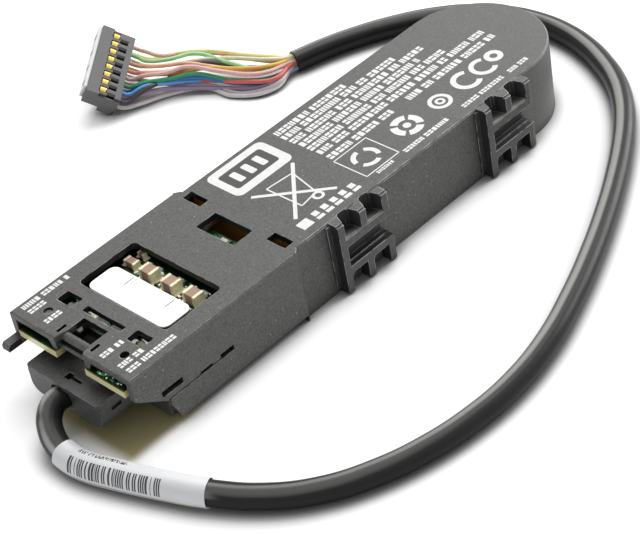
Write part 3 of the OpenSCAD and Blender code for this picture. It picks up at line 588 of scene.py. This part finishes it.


# %% [markdown]
# ## The housing's plastic
# The housing is moulded in black glass-filled nylon or ABS. Its sheen is broad, its grain
# is as fine as sand, and handling has left pale specks. Thin bright edges are painted
# highlights, and its hollows, clip pockets and window walls are painted darker as shade.
# A plain dark shader would look like paper, so the base stays dark and the sheen, grain and
# specks carry the look. The edges are rounded by the Bevel node, because real mould edges
# are never sharp and the CAD edges are.

# %% Housing plastic
# tones of painted shade and painted light
SHADE_BLACK, SHADED, PAINTED_PALE = (0.006,) * 3, (0.012,) * 3, (0.2, 0.2, 0.195)
SIDE_Y = -17.85 * MM  # the long side that carries the clips
CLIPS_X = (-20 * MM, 48.9 * MM)  # the stretch of it where they stand
CLIP_STARTS, CLIP_LONG = (-14.2 * MM, 33.8 * MM), 14.9 * MM
SHELF_Z, TIER_Z, POCKET_Z = 9 * MM, (6.6 * MM, 12.1 * MM), (13.5 * MM, 17 * MM)
WINDOW_X, WINDOW_Y, FINGER_X = -66 * MM, 14.8 * MM, -72.2 * MM
housing = surface("housing plastic", (0.104, 0.103, 0.1), 0.5)
uneven(housing, (0.125, 0.124, 0.12), 260, 1.4, (0.44, 0.6))
uneven(housing, (0.038, 0.038, 0.036), 2500, 2.7)
dusty(housing, (0.3, 0.3, 0.29), 900, 0.16, 0.16)
spot, lie = split(place(housing.node_tree)), split(facing(housing.node_tree))
upright = less(calc("ABSOLUTE", lie["Z"]), 0.5)
level = more(lie["Z"], 0.7)
near_clips = between(spot["X"], *CLIPS_X)
outside = product(less(spot["Y"], SIDE_Y), near_clips)
high = more(spot["Z"], POCKET_Z[0])
# painted shade: hollows are painted dark, but not where a long side comes down to the table
hollow_shade = use(housing, "painted hollow shade", Reach=0.004, Low=0.35, High=0.9)["Mask"]
lifted = calc("MAXIMUM", step(spot["Z"], 3 * MM, 9 * MM), less(spot["Y"], -17.9 * MM))
over(housing, product(hollow_shade, lifted), SHADE_BLACK)
# painted shade: so are the walls of the windows
inner = less(calc("ABSOLUTE", spot["Y"]), WINDOW_Y)
over(housing, product(upright, inner, more(spot["X"], WINDOW_X)), (0.003, 0.003, 0.003))
# painted shade on the clips: a black shelf, dark faces, and black pocket walls
over(housing, product(level, outside, less(spot["Z"], SHELF_Z)), SHADE_BLACK)
over(housing, product(upright, outside, 0.35), SHADED)
sideways = more(calc("ABSOLUTE", lie["X"]), 0.3)
over(housing, product(upright, sideways, outside), SHADED)
set_back = between(spot["Y"], -17.75 * MM, -15 * MM)
over(housing, product(upright, set_back, high, near_clips), (0.008, 0.008, 0.008))
# painted shade on the wall between their tiers
for start in CLIP_STARTS:
    group = between(spot["X"], start, start + CLIP_LONG)
    tier = between(spot["Z"], *TIER_Z)
    wall = between(spot["Y"], -17.9 * MM, -17.7 * MM)
    over(housing, product(group, tier, wall, upright, 0.8), SHADE_BLACK)
# painted shade on the pocket floors, with a painted highlight on the sill
low_enough = less(spot["Z"], POCKET_Z[1])
floor_patch = product(level, less(spot["Y"], -16 * MM), near_clips, high, low_enough)
sill = flipped(step(spot["Y"], -20.4 * MM, -18.4 * MM))
over(housing, floor_patch, SHADED)
over(housing, product(floor_patch, sill), (0.15, 0.15, 0.145))
# painted shade: the finger at the nose is painted dark but for its top
over(housing, product(upright, less(spot["X"], FINGER_X)), SHADED)
# painted light: the far end is painted paler, as if it lay nearer to the light
over(housing, product(level, step(spot["X"], -20 * MM, 100 * MM), 0.35), PAINTED_PALE)
over(housing, product(upright, more(spot["X"], CLIPS_X[1]), 0.3), PAINTED_PALE)
# painted edge highlights are strongest at the clips
clip_side = product(less(spot["Y"], -16.9 * MM), near_clips)
highlight_strength = calc("ADD", product(clip_side, 3.0), 0.75)
textured(housing, 2500, 0.00004, 0.0003, (0.62, 0.62, 0.61), highlight_strength)
dress(housing, "top_cover")

base_plastic = surface("base plastic", (0.05, 0.05, 0.05), 0.55)
uneven(base_plastic, (0.065, 0.065, 0.063), 240, 1.2, (0.5, 0.65))
dusty(base_plastic, (0.25, 0.25, 0.24), 800, 0.14, 0.12)
# painted shade in its hollows, and painted highlights on its edges
shade_hollows(base_plastic, SHADE_BLACK)
textured(base_plastic, 2800, 0.00003, 0.0003, (0.3, 0.3, 0.29), 0.6)
dress(base_plastic, "base_cover")
print("housing finish done")

# %% [markdown]
# ## The circuit board
# The board is glass-fibre laminate under green solder mask. Its sawn front edge is bare and
# cream, and tracks and pads show through the mask. The tracks could be thin meshes, but
# they are only a change of tone, so a wave pattern stepped by a cell pattern draws them.

# %% Board finish
board = surface("solder mask", (0.012, 0.075, 0.025), 0.28, coat=0.3)
tree = board.node_tree
cell = tree_node(tree, "ShaderNodeTexVoronoi", distance="MANHATTAN", feature="F1")
feed(cell.inputs["Vector"], place(tree))
feed(cell.inputs["Scale"], 520)
tracks = tree_node(tree, "ShaderNodeTexWave", wave_type="BANDS", bands_direction="DIAGONAL")
feed(tracks.inputs["Vector"], cell.outputs["Position"])
feed(tracks.inputs["Scale"], 300)
over(board, step(tracks.outputs["Fac"], 0.55, 0.7), (0.03, 0.19, 0.05))
pads = step(calc("SUBTRACT", 0.22, cell.outputs["Distance"]), 0.0, 0.06)
over(board, pads, (0.2, 0.3, 0.12))
spot = split(place(tree))
front_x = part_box("circuit_board")[0].x
over(board, less(spot["X"], front_x + 0.3 * MM), (0.42, 0.45, 0.12))  # a margin with no mask
# painted shade in the board's hollows
shade_hollows(board, (0.001, 0.004, 0.002), 0.006, 0.3, 0.85)
# painted shade: the sawn faces are dark inside the housing and fade to cream laminate past the
# nose, whose front face is paler still
sawn = less(calc("ABSOLUTE", split(facing(tree))["Z"]), 0.5)
over(board, sawn, (0.004, 0.008, 0.004))  # painted shade, dark inside the housing
past_nose = flipped(step(spot["X"], front_x + 0.2 * MM, front_x + 4 * MM))
over(board, product(sawn, past_nose), (0.62, 0.56, 0.24))
over(board, product(sawn, less(spot["X"], front_x + 0.05 * MM)), (0.84, 0.8, 0.46))
textured(board, 3000, 0.00001)
dress(board, "circuit_board")
print("board edge shows from x =", round(front_x / MM, 1), "mm")

# %% [markdown]
# ## Small parts of the board
# The board carries ceramic capacitors, a labelled module, small chips, lamps and its
# header. The solids have the right size, and each real part adds something finer: metal
# ends on a capacitor, legs and pads on a chip. The plain ones keep their solids and get a
# finish. The capacitors are modelled again, because their brown bodies and pale ends are
# what shows through the big window.

# %% Finishes of the small parts
# name, colour, roughness, kind, second colour, its patches, grain, solids
FINISHES = [
    # the module body's edges take a painted highlight
    ("module body", (0.16, 0.1, 0.055), 0.45, {}, (0.08, 0.05, 0.035), (700,),
     (4000, 0.00001, 0.0002, (0.45, 0.35, 0.2), 0.6), ["power_module"]),
    ("paper label", (0.88, 0.88, 0.86), 0.5, {}, (0.82, 0.82, 0.81), (500,),
     (6000, 0.000004, 0.0001), ["module_label"]),
    ("small chips", (0.7, 0.72, 0.66), 0.4, {}, (0.28, 0.3, 0.24), (900, 3.0),
     (5000, 0.000008, 0.0001), ["board_chips"]),
    ("lamp lens", (0.75, 0.78, 0.7), 0.2, {"coat": 0.5}, (0.6, 0.65, 0.5), (900,),
     (4000, 0.000004), ["lamp_lenses"]),
    ("light guide", (0.1, 0.1, 0.1), 0.35, {}, (0.15, 0.15, 0.15), (900,),
     (4000, 0.000006, 0.0002), ["light_guide"]),
    ("header plastic", (0.02, 0.02, 0.021), 0.5, {}, (0.035, 0.035, 0.035), (500,),
     (4000, 0.00001, 0.0002), ["board_header"]),
    ("gold plating", (0.94, 0.66, 0.2), 0.34, {"metallic": 0.9}, (0.84, 0.54, 0.14),
     (1200, 1.2, (0.26, 0.42)), (5000, 0.000006, 0.0002), ["header_pins", "connector_contacts"]),
    ("cell case", (0.62, 0.62, 0.6), 0.3, {"metallic": 1.0}, (0.5, 0.5, 0.49),
     (300, 1.2, (0.22, 0.4)), (3000, 0.000006, 0.0003), ["cell_1", "cell_2", "cell_3", "cell_4"]),
    ("insulating ring", (0.75, 0.75, 0.72), 0.6, {}, (0.66, 0.66, 0.62), (400,),
     (4000, 0.00001), ["insulating_rings"]),
    ("nickel", (0.6, 0.58, 0.54), 0.35, {"metallic": 1.0}, (0.5, 0.48, 0.44),
     (500, 1.2, (0.28, 0.45)), (4000, 0.000006), ["cell_straps", "battery_tabs"]),
    ("cell holder", (0.03, 0.03, 0.032), 0.55, {}, (0.045, 0.045, 0.045), (300,),
     (4000, 0.00001, 0.0003), ["cell_holder"]),
    ("amber film", (0.62, 0.27, 0.04), 0.3, {"coat": 0.4}, (0.42, 0.16, 0.03), (260, 1.4),
     (1500, 0.00002), ["insulation_sheet"]),
    ("foam", (0.025, 0.025, 0.027), 0.9, {}, (0.05, 0.05, 0.05), (2500, 2.0),
     (2500, 0.00012), ["foam_pad"]),
    ("sensor", (0.02, 0.02, 0.025), 0.4, {}, (0.04, 0.04, 0.045), (500,),
     (4000, 0.00001), ["temperature_sensor"]),
]
for name, colour, roughness, kind, second, patches, grain, solids in FINISHES:
    dress(plain(name, colour, roughness, second, patches, grain, **kind), *solids)
# painted glow on the paper label and the small chips
painted_glow(bpy.data.materials["paper label"], (1, 1, 0.99), 0.3)
painted_glow(bpy.data.materials["small chips"], (0.9, 0.9, 0.7), 0.1)
print("finishes so far:", len(bpy.data.materials))


# %% Block helper
def block(bm, low, high, bevel=0.0, segments=2, material=0):
    """A box between two corners in millimetres, with its edges rounded."""
    low, high = Vector(low) * MM, Vector(high) * MM
    made = bmesh.ops.create_cube(bm, size=1)["verts"]
    bmesh.ops.scale(bm, vec=high - low, verts=made)
    bmesh.ops.translate(bm, vec=(low + high) / 2, verts=made)
    faces = {f for v in made for f in v.link_faces}
    if bevel:
        edges = {e for v in made for e in v.link_edges}
        rounded_off = bmesh.ops.bevel(
            bm, geom=list(edges), offset=bevel * MM, segments=segments, profile=0.5,
            affect="EDGES", material=-1,
        )
        faces = {f for f in faces if f.is_valid} | set(rounded_off["faces"])
    for face in faces:
        face.material_index = material


# %% Ceramic capacitors
# painted highlights on the ceramic bodies' edges, and a painted glow on the tinned ends
ceramic = plain(
    "ceramic body", (0.33, 0.2, 0.13), 0.4, (0.42, 0.27, 0.18), (900,),
    (4000, 0.00001, 0.0001, (0.5, 0.38, 0.3), 0.4),
)
tinned = plain(
    "tinned ends", (0.82, 0.76, 0.56), 0.32, (0.62, 0.54, 0.3), (900, 2.4, (0.24, 0.42)),
    (3000, 0.00002, 0.0001), metallic=0.25,
)
painted_glow(tinned, (1, 0.92, 0.7), 0.06)
BOARD_TOP = 15.0
CAPACITORS = [  # low corner on the board, length along X, length along Y, height
    (-46.1, -10.3, 3, 3.8, 2.7), (-46.1, -3.5, 3, 3.8, 2.7), (-46.1, 3.3, 3, 3.8, 2.7),
    (-45.1, 9.9, 2, 3.4, 1.7), (-41.5, 10.8, 1.2, 2, 1.5),
]
bodies, ends = bmesh.new(), bmesh.new()
for x, y, wide, deep, high in CAPACITORS:
    cap, top = 0.21 * deep, BOARD_TOP + high
    low = (x + 0.08, y + cap - 0.1, BOARD_TOP + 0.05)
    block(bodies, low, (x + wide - 0.08, y + deep - cap + 0.1, top - 0.06), 0.1)
    for start in (y, y + deep - cap):
        block(ends, (x, start, BOARD_TOP), (x + wide, start + cap, top), 0.16, 3)
    for start in (y - 0.55, y + deep - 0.25):  # solder at its feet
        low = (x - 0.2, start, BOARD_TOP)
        block(ends, low, (x + wide + 0.2, start + 0.8, BOARD_TOP + 0.22), 0.1)
finished("capacitor_bodies", bodies, [ceramic], ["ceramic_capacitors"])
finished("capacitor_ends", ends, [tinned])
print("capacitors:", len(CAPACITORS))

# %% Solder, pads and the smallest chips
BITS = [  # a field on the board, how many bits, the share of bright ones, added height
    (-48.2, -13.6, -46.5, 13.2, 120, 0.75, 0), (-43.0, -13.0, -41.0, 9.6, 60, 0.4, 0),
    (-46.2, -6.4, -43.2, -3.8, 18, 0.7, 0), (-46.2, 0.6, -43.2, 3.0, 18, 0.7, 0),
    (-46.2, 7.4, -43.4, 9.6, 16, 0.6, 0), (-46.2, -13.8, -43.2, -10.9, 22, 0.8, 0),
    (-61.5, -10.8, -58.3, -6.2, 30, 0.7, 0), (-60.8, 11.9, -58.0, 13.8, 16, 0.5, 0),
    (-60.7, 4.6, -59.5, 9.2, 26, 0.85, 0.6), (-60.9, -3.0, -59.8, 4.4, 26, 0.35, 0),
    (-71.3, -14.8, -70.2, -7.2, 26, 0.3, 0), (-29.4, -6.0, -26.4, 6.0, 50, 0.5, 0),
]
bit_random = random.Random(7)
bits = bmesh.new()
for x0, y0, x1, y1, count, bright, taller in BITS:
    for _ in range(count):
        wide, deep = bit_random.choice(((0.25, 0.5), (0.5, 0.25), (0.3, 0.3), (0.4, 0.8)))
        x, y = bit_random.uniform(x0, x1 - wide), bit_random.uniform(y0, y1 - deep)
        shiny = bit_random.random() < bright
        high = bit_random.uniform(0.05, 0.25) if shiny else bit_random.uniform(0.2, 0.5)
        tone = bit_random.choice((0, 0, 1)) if shiny else bit_random.choice((2, 3))
        corner = (x + wide, y + deep, BOARD_TOP + high + taller)
        block(bits, (x, y, BOARD_TOP - 0.02), corner, material=tone)
# a taller block of solder, and the module's rim
block(bits, (-61.5, -7.6, BOARD_TOP), (-60.4, -6.4, BOARD_TOP + 0.9), 0.1)
block(bits, (-55.98, -12.1, BOARD_TOP + 0.4), (-55.62, 11.7, BOARD_TOP + 1.2), material=4)
SPOTTED = (2000, 2.0)
# painted glow on solder, tin and bright mask, for glints too small to catch a lamp
solder = plain("solder", (0.86, 0.84, 0.7), 0.3, (0.6, 0.62, 0.4), SPOTTED, (4000, 0.00002))
painted_glow(solder, (1, 0.96, 0.78), 0.35)
tin = plain(
    "bright tin", (0.9, 0.9, 0.88), 0.25, (0.7, 0.7, 0.66), SPOTTED, (4000, 0.00002), metallic=0.7
)
painted_glow(tin, (1, 1, 0.96), 0.4)
green = plain(
    "bright mask", (0.05, 0.32, 0.12), 0.3, (0.02, 0.16, 0.06), SPOTTED, (4000, 0.00001)
)
painted_glow(green, (0.1, 0.5, 0.2), 0.12)
chip = plain("chip body", (0.03,) * 3, 0.4, (0.05,) * 3, SPOTTED, (4000, 0.00001))
rim = plain(
    "module rim", (0.5, 0.24, 0.06), 0.4, (0.16, 0.08, 0.03), (1500, 3.0), (4000, 0.00001)
)
finished("board_bits", bits, [solder, tin, green, chip, rim])
print("bits on the board:", sum(field[4] for field in BITS))

# %% [markdown]
# ## The plug
# The plug is a two-part moulding in a tighter, silkier black than the housing. Both halves
# keep their solids, so only the finish is added. A lower roughness over a fine grain gives
# the silky sheen, with painted shade in its hollows and painted highlights on its edges. The
# cable's vinyl is darker still, with a paler painted top and a few painted highlight streaks.

# %% Plug and sheath finishes
plug_plastic = surface("plug plastic", (0.075, 0.075, 0.074), 0.42)
uneven(plug_plastic, (0.1, 0.099, 0.096), 300, 1.4, (0.38, 0.52))
uneven(plug_plastic, (0.02, 0.02, 0.02), 2400, 2.0)
dusty(plug_plastic, (0.24, 0.24, 0.23), 900, 0.12, 0.12)
# painted shade in its hollows, and painted highlights on its edges
shade_hollows(plug_plastic, SHADE_BLACK, 0.003)
textured(plug_plastic, 2800, 0.00003, 0.0004, (0.4, 0.4, 0.39), 0.6)
dress(plug_plastic, "plug_upper", "plug_lower")

sheath_vinyl = surface("cable sheath", (0.009, 0.009, 0.0095), 0.36, specular=0.14)
uneven(sheath_vinyl, (0.015, 0.015, 0.016), 160, 1.4, (0.22, 0.36))
outward = facing(sheath_vinyl.node_tree)
# painted light: its upper side is painted paler
over(sheath_vinyl, product(step(split(outward)["Z"], 0.2, 0.95), 0.7), (0.035, 0.035, 0.034))
# painted highlights: soft streaks along its length, and across its first bend
along_x = split(place(sheath_vinyl.node_tree))["X"]
first_bend = flipped(step(along_x, -78 * MM, -74.5 * MM))
for bend, low, high, sheen, where in (
    ((0.15, -0.2, 0.97), 0.85, 1.0, 0.035, 1.0),
    ((-0.23, 0.23, 0.945), 0.9, 0.995, 0.4, 1.0),
    ((-0.38, -0.28, 0.88), 0.9, 1.0, 0.11, 1.0),
    ((-0.75, -0.2, 0.63), 0.9, 1.0, 0.5, first_bend),
):
    streak_highlight = product(step(dot(outward, bend), low, high), where)
    over(sheath_vinyl, streak_highlight, (sheen, sheen, 0.96 * sheen))
textured(sheath_vinyl, 2600, 0.000012)
cable.data.materials.append(sheath_vinyl)

for name, colour, roughness, second, patches, grain in (
    ("flag vinyl", (0.84, 0.85, 0.86), 0.3, (0.78, 0.79, 0.81), (200, 1.2), (2600, 0.000008)),
    ("flag ink", (0.03, 0.03, 0.033), 0.45, (0.08, 0.08, 0.085), (1800, 2.0), (3000, 0.000006)),
    ("flag fold shade", (0.2, 0.2, 0.21), 0.4, (0.3, 0.3, 0.31), (900,), (3000, 0.000006)),
):
    cable_label.data.materials.append(plain(name, colour, roughness, second, patches, grain))

# %% Wire finishes
WIRE_COLOURS = {
    "pink_thin": (0.86, 0.5, 0.44), "light_green": (0.42, 0.84, 0.42), "cream": (0.92, 0.9, 0.68),
    "apricot": (0.95, 0.56, 0.36), "salmon": (0.95, 0.44, 0.32), "pink": (0.95, 0.58, 0.56),
    "dark_green": (0.03, 0.36, 0.18), "blue": (0.05, 0.2, 0.55), "sky_blue": (0.16, 0.42, 0.9),
    "black": (0.045, 0.03, 0.028), "violet": (0.4, 0.28, 0.44), "white": (0.8, 0.78, 0.8),
    "yellow": (0.97, 0.88, 0.36), "orange": (0.96, 0.6, 0.12), "red": (0.8, 0.16, 0.14),
    "grey": (0.66, 0.6, 0.64),
}
for wire in wires:
    name = wire.name.replace("wire_", "")
    colour = WIRE_COLOURS[name]
    darker = tuple(0.8 * c for c in colour)
    vinyl = plain("wire " + name, colour, 0.38, darker, (700, 1.4), (3000, 0.000006))
    wire.data.materials.append(vinyl)
print("wires coloured:", len(wires))

# %% [markdown]
# ## The connector
# The connector is a dark two-row socket with gold spring contacts in windows along its
# face, and behind each contact a slanted groove in which the wire is pressed. A pale strip
# closes its mating side. The solids hold all of that, so only their finish is added here.

# %% Connector finishes
connector_plastic = surface("connector plastic", (0.1, 0.1, 0.102), 0.5)
uneven(connector_plastic, (0.12, 0.12, 0.122), 400, 1.2, (0.44, 0.58))
# painted shade in its hollows, and painted highlights on its edges
shade_hollows(connector_plastic, (0.008, 0.008, 0.008), 0.002)
textured(connector_plastic, 4200, 0.00001, 0.00025, (0.3, 0.3, 0.3), 0.5)
dress(connector_plastic, "connector_housing")
cap_plastic = surface("connector cap", (0.84, 0.85, 0.84), 0.5)
uneven(cap_plastic, (0.74, 0.75, 0.74), 500, 1.4)
# painted shade in the cap's hollows
shade_hollows(cap_plastic, (0.04, 0.04, 0.04), 0.0015)
textured(cap_plastic, 4200, 0.00001, 0.0002)
dress(cap_plastic, "connector_cap")
print("connector finish done")

# %% [markdown]
# ## The print
# White ink covers the top: rows of small marks, a panel and a handful of symbols. All of it
# is replaced by plain shapes of the same size in the same places. It could be an image on
# the plastic. Thin faces just above it stay sharp at any distance, and each comes from one
# grid or from a short edge that is spun round.

# %% Ink helpers
INK_Z = 18.6 + 0.02  # just above the cover
MARK_Z = 18.0 + 0.02  # just above the module's label
LAYER = 0.01  # each further layer lies this much higher


def patch(bm, x0, y0, x1, y1, z=INK_Z, corner=0.0, turn=0.0, tone=0):
    """A flat rectangle of ink between two corners in millimetres, in one of the tones."""
    made = bmesh.ops.create_grid(bm, x_segments=1, y_segments=1, size=0.5)["verts"]
    middle = Vector(((x0 + x1) / 2, (y0 + y1) / 2, z)) * MM
    bmesh.ops.scale(bm, vec=Vector((abs(x1 - x0), abs(y1 - y0), 1)) * MM, verts=made)
    if turn:
        bmesh.ops.rotate(bm, matrix=Matrix.Rotation(turn, 3, "Z"), verts=made)
    bmesh.ops.translate(bm, vec=middle, verts=made)
    if corner:
        bmesh.ops.bevel(
            bm, geom=made, offset=corner * MM, segments=5, profile=0.5, affect="VERTICES",
            material=-1,
        )
    bm.faces.ensure_lookup_table()
    bm.faces[-1].material_index = tone


def stroke(bm, a, b, width, z=INK_Z):
    """A straight stroke of ink from a to b."""
    a, b = Vector(a), Vector(b)
    (x, y), half = (a + b) / 2, (b - a).length / 2
    turn = math.atan2(b.y - a.y, b.x - a.x)
    patch(bm, x - half, y - width / 2, x + half, y + width / 2, z, 0, turn)


def outline(bm, corners, width, z=INK_Z):
    """Strokes from corner to corner and back to the first."""
    for a, b in zip(corners, corners[1:] + corners[:1]):
        stroke(bm, a, b, width, z)


def hoop(bm, x, y, outer, inner, sides=36, start=0.0, sweep=2 * math.pi, z=INK_Z):
    """A ring of ink, or part of one, spun from a short radial edge."""
    arms = [
        bm.verts.new(Vector((x + r * math.cos(start), y + r * math.sin(start), z)) * MM)
        for r in (inner, outer)
    ]
    edge = bm.edges.new(arms)
    bmesh.ops.spin(
        bm, geom=[*arms, edge], cent=Vector((x, y, z)) * MM, axis=(0, 0, 1), angle=sweep,
        steps=sides, use_merge=abs(sweep) > 6.28, use_duplicate=False,
    )


ink_random = random.Random(12)


def row_of_marks(bm, x0, x1, y, high, z=INK_Z, pace=1.0):
    """Small upright and level bars in groups, as busy as a row of print."""
    low, top, bar = y - high / 2, y + high / 2, 0.27 * high
    x, left = x0, ink_random.choice((3, 4, 5, 7))
    while x < x1 - 0.5 * high:
        wide = high * ink_random.choice((0.56, 0.64, 0.74)) * pace
        kind = ink_random.random()
        if kind < 0.45:  # two level bars
            patch(bm, x, low, x + wide, low + 1.55 * bar, z)
            patch(bm, x, top - 1.55 * bar, x + wide, top, z)
        elif kind < 0.75:  # two upright bars
            patch(bm, x, low, x + 0.43 * wide, top, z)
            patch(bm, x + 0.57 * wide, low, x + wide, top, z)
        else:  # a block
            patch(bm, x + 0.05 * wide, low, x + 0.9 * wide, top, z)
        x += wide + 0.13 * high
        left -= 1
        if left == 0:
            x += 0.42 * high
            left = ink_random.choice((2, 3, 5, 6, 8))


# %% Print on the top
ink = bmesh.new()
ROWS = [  # from, to, place across
    (3.1, 26.8, 14.5), (2.9, 40.2, 12.0), (3.0, 46.4, 9.35), (3.2, 42.6, 6.7),
    (3.2, 48.9, 4.05), (3.3, 59.8, 1.3), (3.3, 25.9, -1.9), (29.2, 59.6, -1.9),
]
ROW_HIGH, CAPTION_HIGH = 1.9, 1.45
for x0, x1, y in ROWS:
    row_of_marks(ink, x0, x1, y, ROW_HIGH)
# a pale panel in front holds a plain dark field with three bars
patch(ink, -17.6, 4.9, -0.4, 16.3, corner=1.8)
patch(ink, -15.6, 7.3, -2.6, 14.2, INK_Z + LAYER, 0.8, tone=1)
for x in (-12.6, -9.1, -5.6):
    patch(ink, x - 0.9, 8.7, x + 0.9, 12.8, INK_Z + 2 * LAYER, 0.4)
# two crossed strokes over an open frame
stroke(ink, (-16.2, 2.8), (-3.5, -10.9), 0.9)
stroke(ink, (-2.3, 3.8), (-16.3, -10.9), 0.9, INK_Z + LAYER)
frame_corners = [(-12.3, 2.0), (-5.0, 1.2), (-7.0, -8.0), (-12.2, -8.8)]
outline(ink, frame_corners, 0.4, INK_Z + LAYER / 2)
hoop(ink, -7.6, -9.2, 1.45, 0.75, 24)
# a row of blocks
patch(ink, -17.9, -15.2, -14.8, -12.4)
for index in range(5):
    x = -13.6 + 2.8 * index
    patch(ink, x, -15.3, x + 2.1, -14.3)
    patch(ink, x + 0.25, -13.9, x + 1.85, -12.3)
# a thin square frame with three bent bars in it
outline(ink, [(2.9, -3.8), (13.2, -3.8), (13.2, -13.8), (2.9, -13.8)], 0.32)
for turn in (90, 210, 330):
    hoop(ink, 8.05, -8.8, 3.5, 2.3, 8, math.radians(turn), math.radians(86))
row_of_marks(ink, 5.1, 10.2, -14.8, 0.95)
# a thick round-cornered frame
for quarter in range(4):
    turn = math.radians(45 + 90 * quarter)
    hoop(ink, 21.6, -8.6, 3.9, 2.1, 6, turn + 0.14, math.pi / 2 - 0.28)
hoop(ink, 21.6, -8.6, 1.0, 0.0, 16)
row_of_marks(ink, 14.0, 28.7, -14.7, 1.3, pace=1.35)
# round symbols
hoop(ink, 32.4, -8.9, 2.9, 1.9)
hoop(ink, 32.4, -8.9, 1.25, 0.55, 24)
for x, y, outer, inner in ((41.9, -8.5, 3.7, 2.35), (48.0, -8.3, 3.4, 2.15)):
    hoop(ink, x, y, outer, inner, 30, math.radians(50), math.radians(260))
hoop(ink, 52.5, -7.6, 2.3, 0.95, 30)
row_of_marks(ink, 33.5, 47.2, -14.7, 1.3)
row_of_marks(ink, 49.3, 56.1, -14.7, 1.3)
# captions beside the lamps
CAPTIONS = [
    (-69.3, -55.9, 17.1), (-69.3, -65.0, 14.9), (-69.3, -64.6, 9.6), (-69.7, -63.9, -8.5),
    (-69.6, -63.0, -13.9), (-69.5, -55.4, -16.3),
]
for x0, x1, y in CAPTIONS:
    row_of_marks(ink, x0, x1, y, CAPTION_HIGH)
bmesh.ops.recalc_face_normals(ink, faces=ink.faces)
print("marks:", len(ink.faces))
ink_white = plain(
    "white ink", (0.8, 0.8, 0.78), 0.6, (0.62, 0.62, 0.6), (900, 1.6), (3000, 0.000006)
)
# painted glow on the white ink
painted_glow(ink_white, (1, 1, 0.98), 0.14)
ink_dark = plain("dark ink", (0.06,) * 3, 0.6, (0.045,) * 3, (900, 1.6), (3000, 0.000006))
finished("top_print", ink, [ink_white, ink_dark])

# %% Marks on the module's label
marks = bmesh.new()
for y in (5.25, -7.45):
    stroke(marks, (-51.5, y), (-48.7, y), 0.26, MARK_Z)
for left, right, first, gap, count in ((-51.0, -48.4, 4.2, 0.85, 4), (-51.1, -48.7, -3.4, 0.75, 5)):
    for index in range(count):
        y = first - gap * index
        stroke(marks, (left, y), (right, y), ink_random.choice((0.08, 0.12)), MARK_Z)
for _ in range(46):
    x, y = ink_random.uniform(-55.2, -52.2), ink_random.uniform(-4.0, 8.0)
    patch(marks, x, y, x + 0.14, y + 0.14, MARK_Z)
label_ink = plain(
    "label ink", (0.12, 0.12, 0.13), 0.5, (0.3, 0.3, 0.32), (1500, 1.6), (3000, 0.000004)
)
finished("label_marks", marks, [label_ink])

# %% [markdown]
# ## Table and light
# The module lies on a white table in a bright tent. A big softbox stands above and behind
# it, a second box beside its far end, and the white all round fills in. A sky texture would
# tint it. Area lamps and a white world are plain and even. The table is lit to just under
# white, and what the camera sees of it is lifted a little, so it is white where nothing
# shades it. Close round the module and cable, and under the nose, its shadows are painted.

# %% Table
floor_mesh = bmesh.new()
bmesh.ops.create_grid(floor_mesh, x_segments=2, y_segments=2, size=6.0)
floor_data = bpy.data.meshes.new("table")
floor_mesh.to_mesh(floor_data)
floor_mesh.free()
floor = bpy.data.objects.new("table", floor_data)
collection.objects.link(floor)
LIFT = 0.36  # light that the camera sees on top of what the lamps give
table = surface("table white", (0.93, 0.93, 0.93), 0.9, specular=0.0)
tree = table.node_tree
seen, sky, spot = in_view(tree), open_sky(tree, 6 * MM), split(place(tree))
# painted shadow: the table is darkened where the module and cable stand close over it
over(table, flipped(step(sky, 0.3, 0.8)), (0.33, 0.325, 0.32))
# painted shadow: the table under the raised nose is painted dark olive, as if the board and its
# mask tinted the light
across = product(step(spot["Y"], -20.5 * MM, -17 * MM), flipped(step(spot["Y"], 5 * MM, 12 * MM)))
nose_shadow = product(across, flipped(step(spot["X"], -61 * MM, -53 * MM)))
nose_shadow = product(nose_shadow, step(spot["X"], -79 * MM, -74 * MM))
over(table, nose_shadow, (0.46, 0.41, 0.22))
lifted, white = tree_node(tree, "ShaderNodeEmission"), tree_node(tree, "ShaderNodeEmission")
# the lift is withheld close to the module and cable and under the nose, which keeps the painted
# shadows dark
feed(lifted.inputs["Strength"], product(seen, step(sky, 0.5, 0.97), LIFT, flipped(nose_shadow)))
both = tree_node(tree, "ShaderNodeAddShader")
feed(both.inputs[0], shader_of(table).outputs[0])
feed(both.inputs[1], lifted.outputs[0])
# far from the module the table is plain white
away = tree_node(tree, "ShaderNodeVectorMath", operation="LENGTH")
feed(away.inputs[0], place(tree))
blend = tree_node(tree, "ShaderNodeMixShader")
feed(blend.inputs["Fac"], product(seen, step(away.outputs["Value"], 0.3, 0.7)))
feed(blend.inputs[1], both.outputs[0])
feed(blend.inputs[2], white.outputs[0])
feed(tree.nodes["Material Output"].inputs["Surface"], blend.outputs[0])
floor_data.materials.append(table)

# %% World and lamps
TENT_LIGHT = 0.45  # what the tent gives; seen straight or in a mirror it is white
world = bpy.data.worlds.new("tent")
bpy.context.scene.world = world
world.use_nodes = True
tree = world.node_tree
shown = tree_node(tree, "ShaderNodeMapRange")
for label, value in (("Value", in_view(tree)), ("To Min", TENT_LIGHT), ("To Max", 1.0)):
    feed(shown.inputs[label], value)
background = tree.nodes["Background"]
feed(background.inputs["Strength"], shown.outputs["Result"])
feed(background.inputs["Color"], (1, 1, 1, 1))

for name, where, size, power in (
    ("softbox", (0.95, 0.5, 1.7), (1.6, 1.3), 25), ("side box", (2.0, -0.3, 0.65), (1.2, 1.0), 28),
):
    box = bpy.data.lights.new(name, "AREA")
    box.shape = "RECTANGLE"
    box.size, box.size_y = size
    box.energy = power
    lamp = bpy.data.objects.new(name, box)
    collection.objects.link(lamp)
    lamp.location = where
    lamp.rotation_euler = (-lamp.location).to_track_quat("-Z", "Y").to_euler()
    print(name, "stands", round(lamp.location.length, 2), "m away")
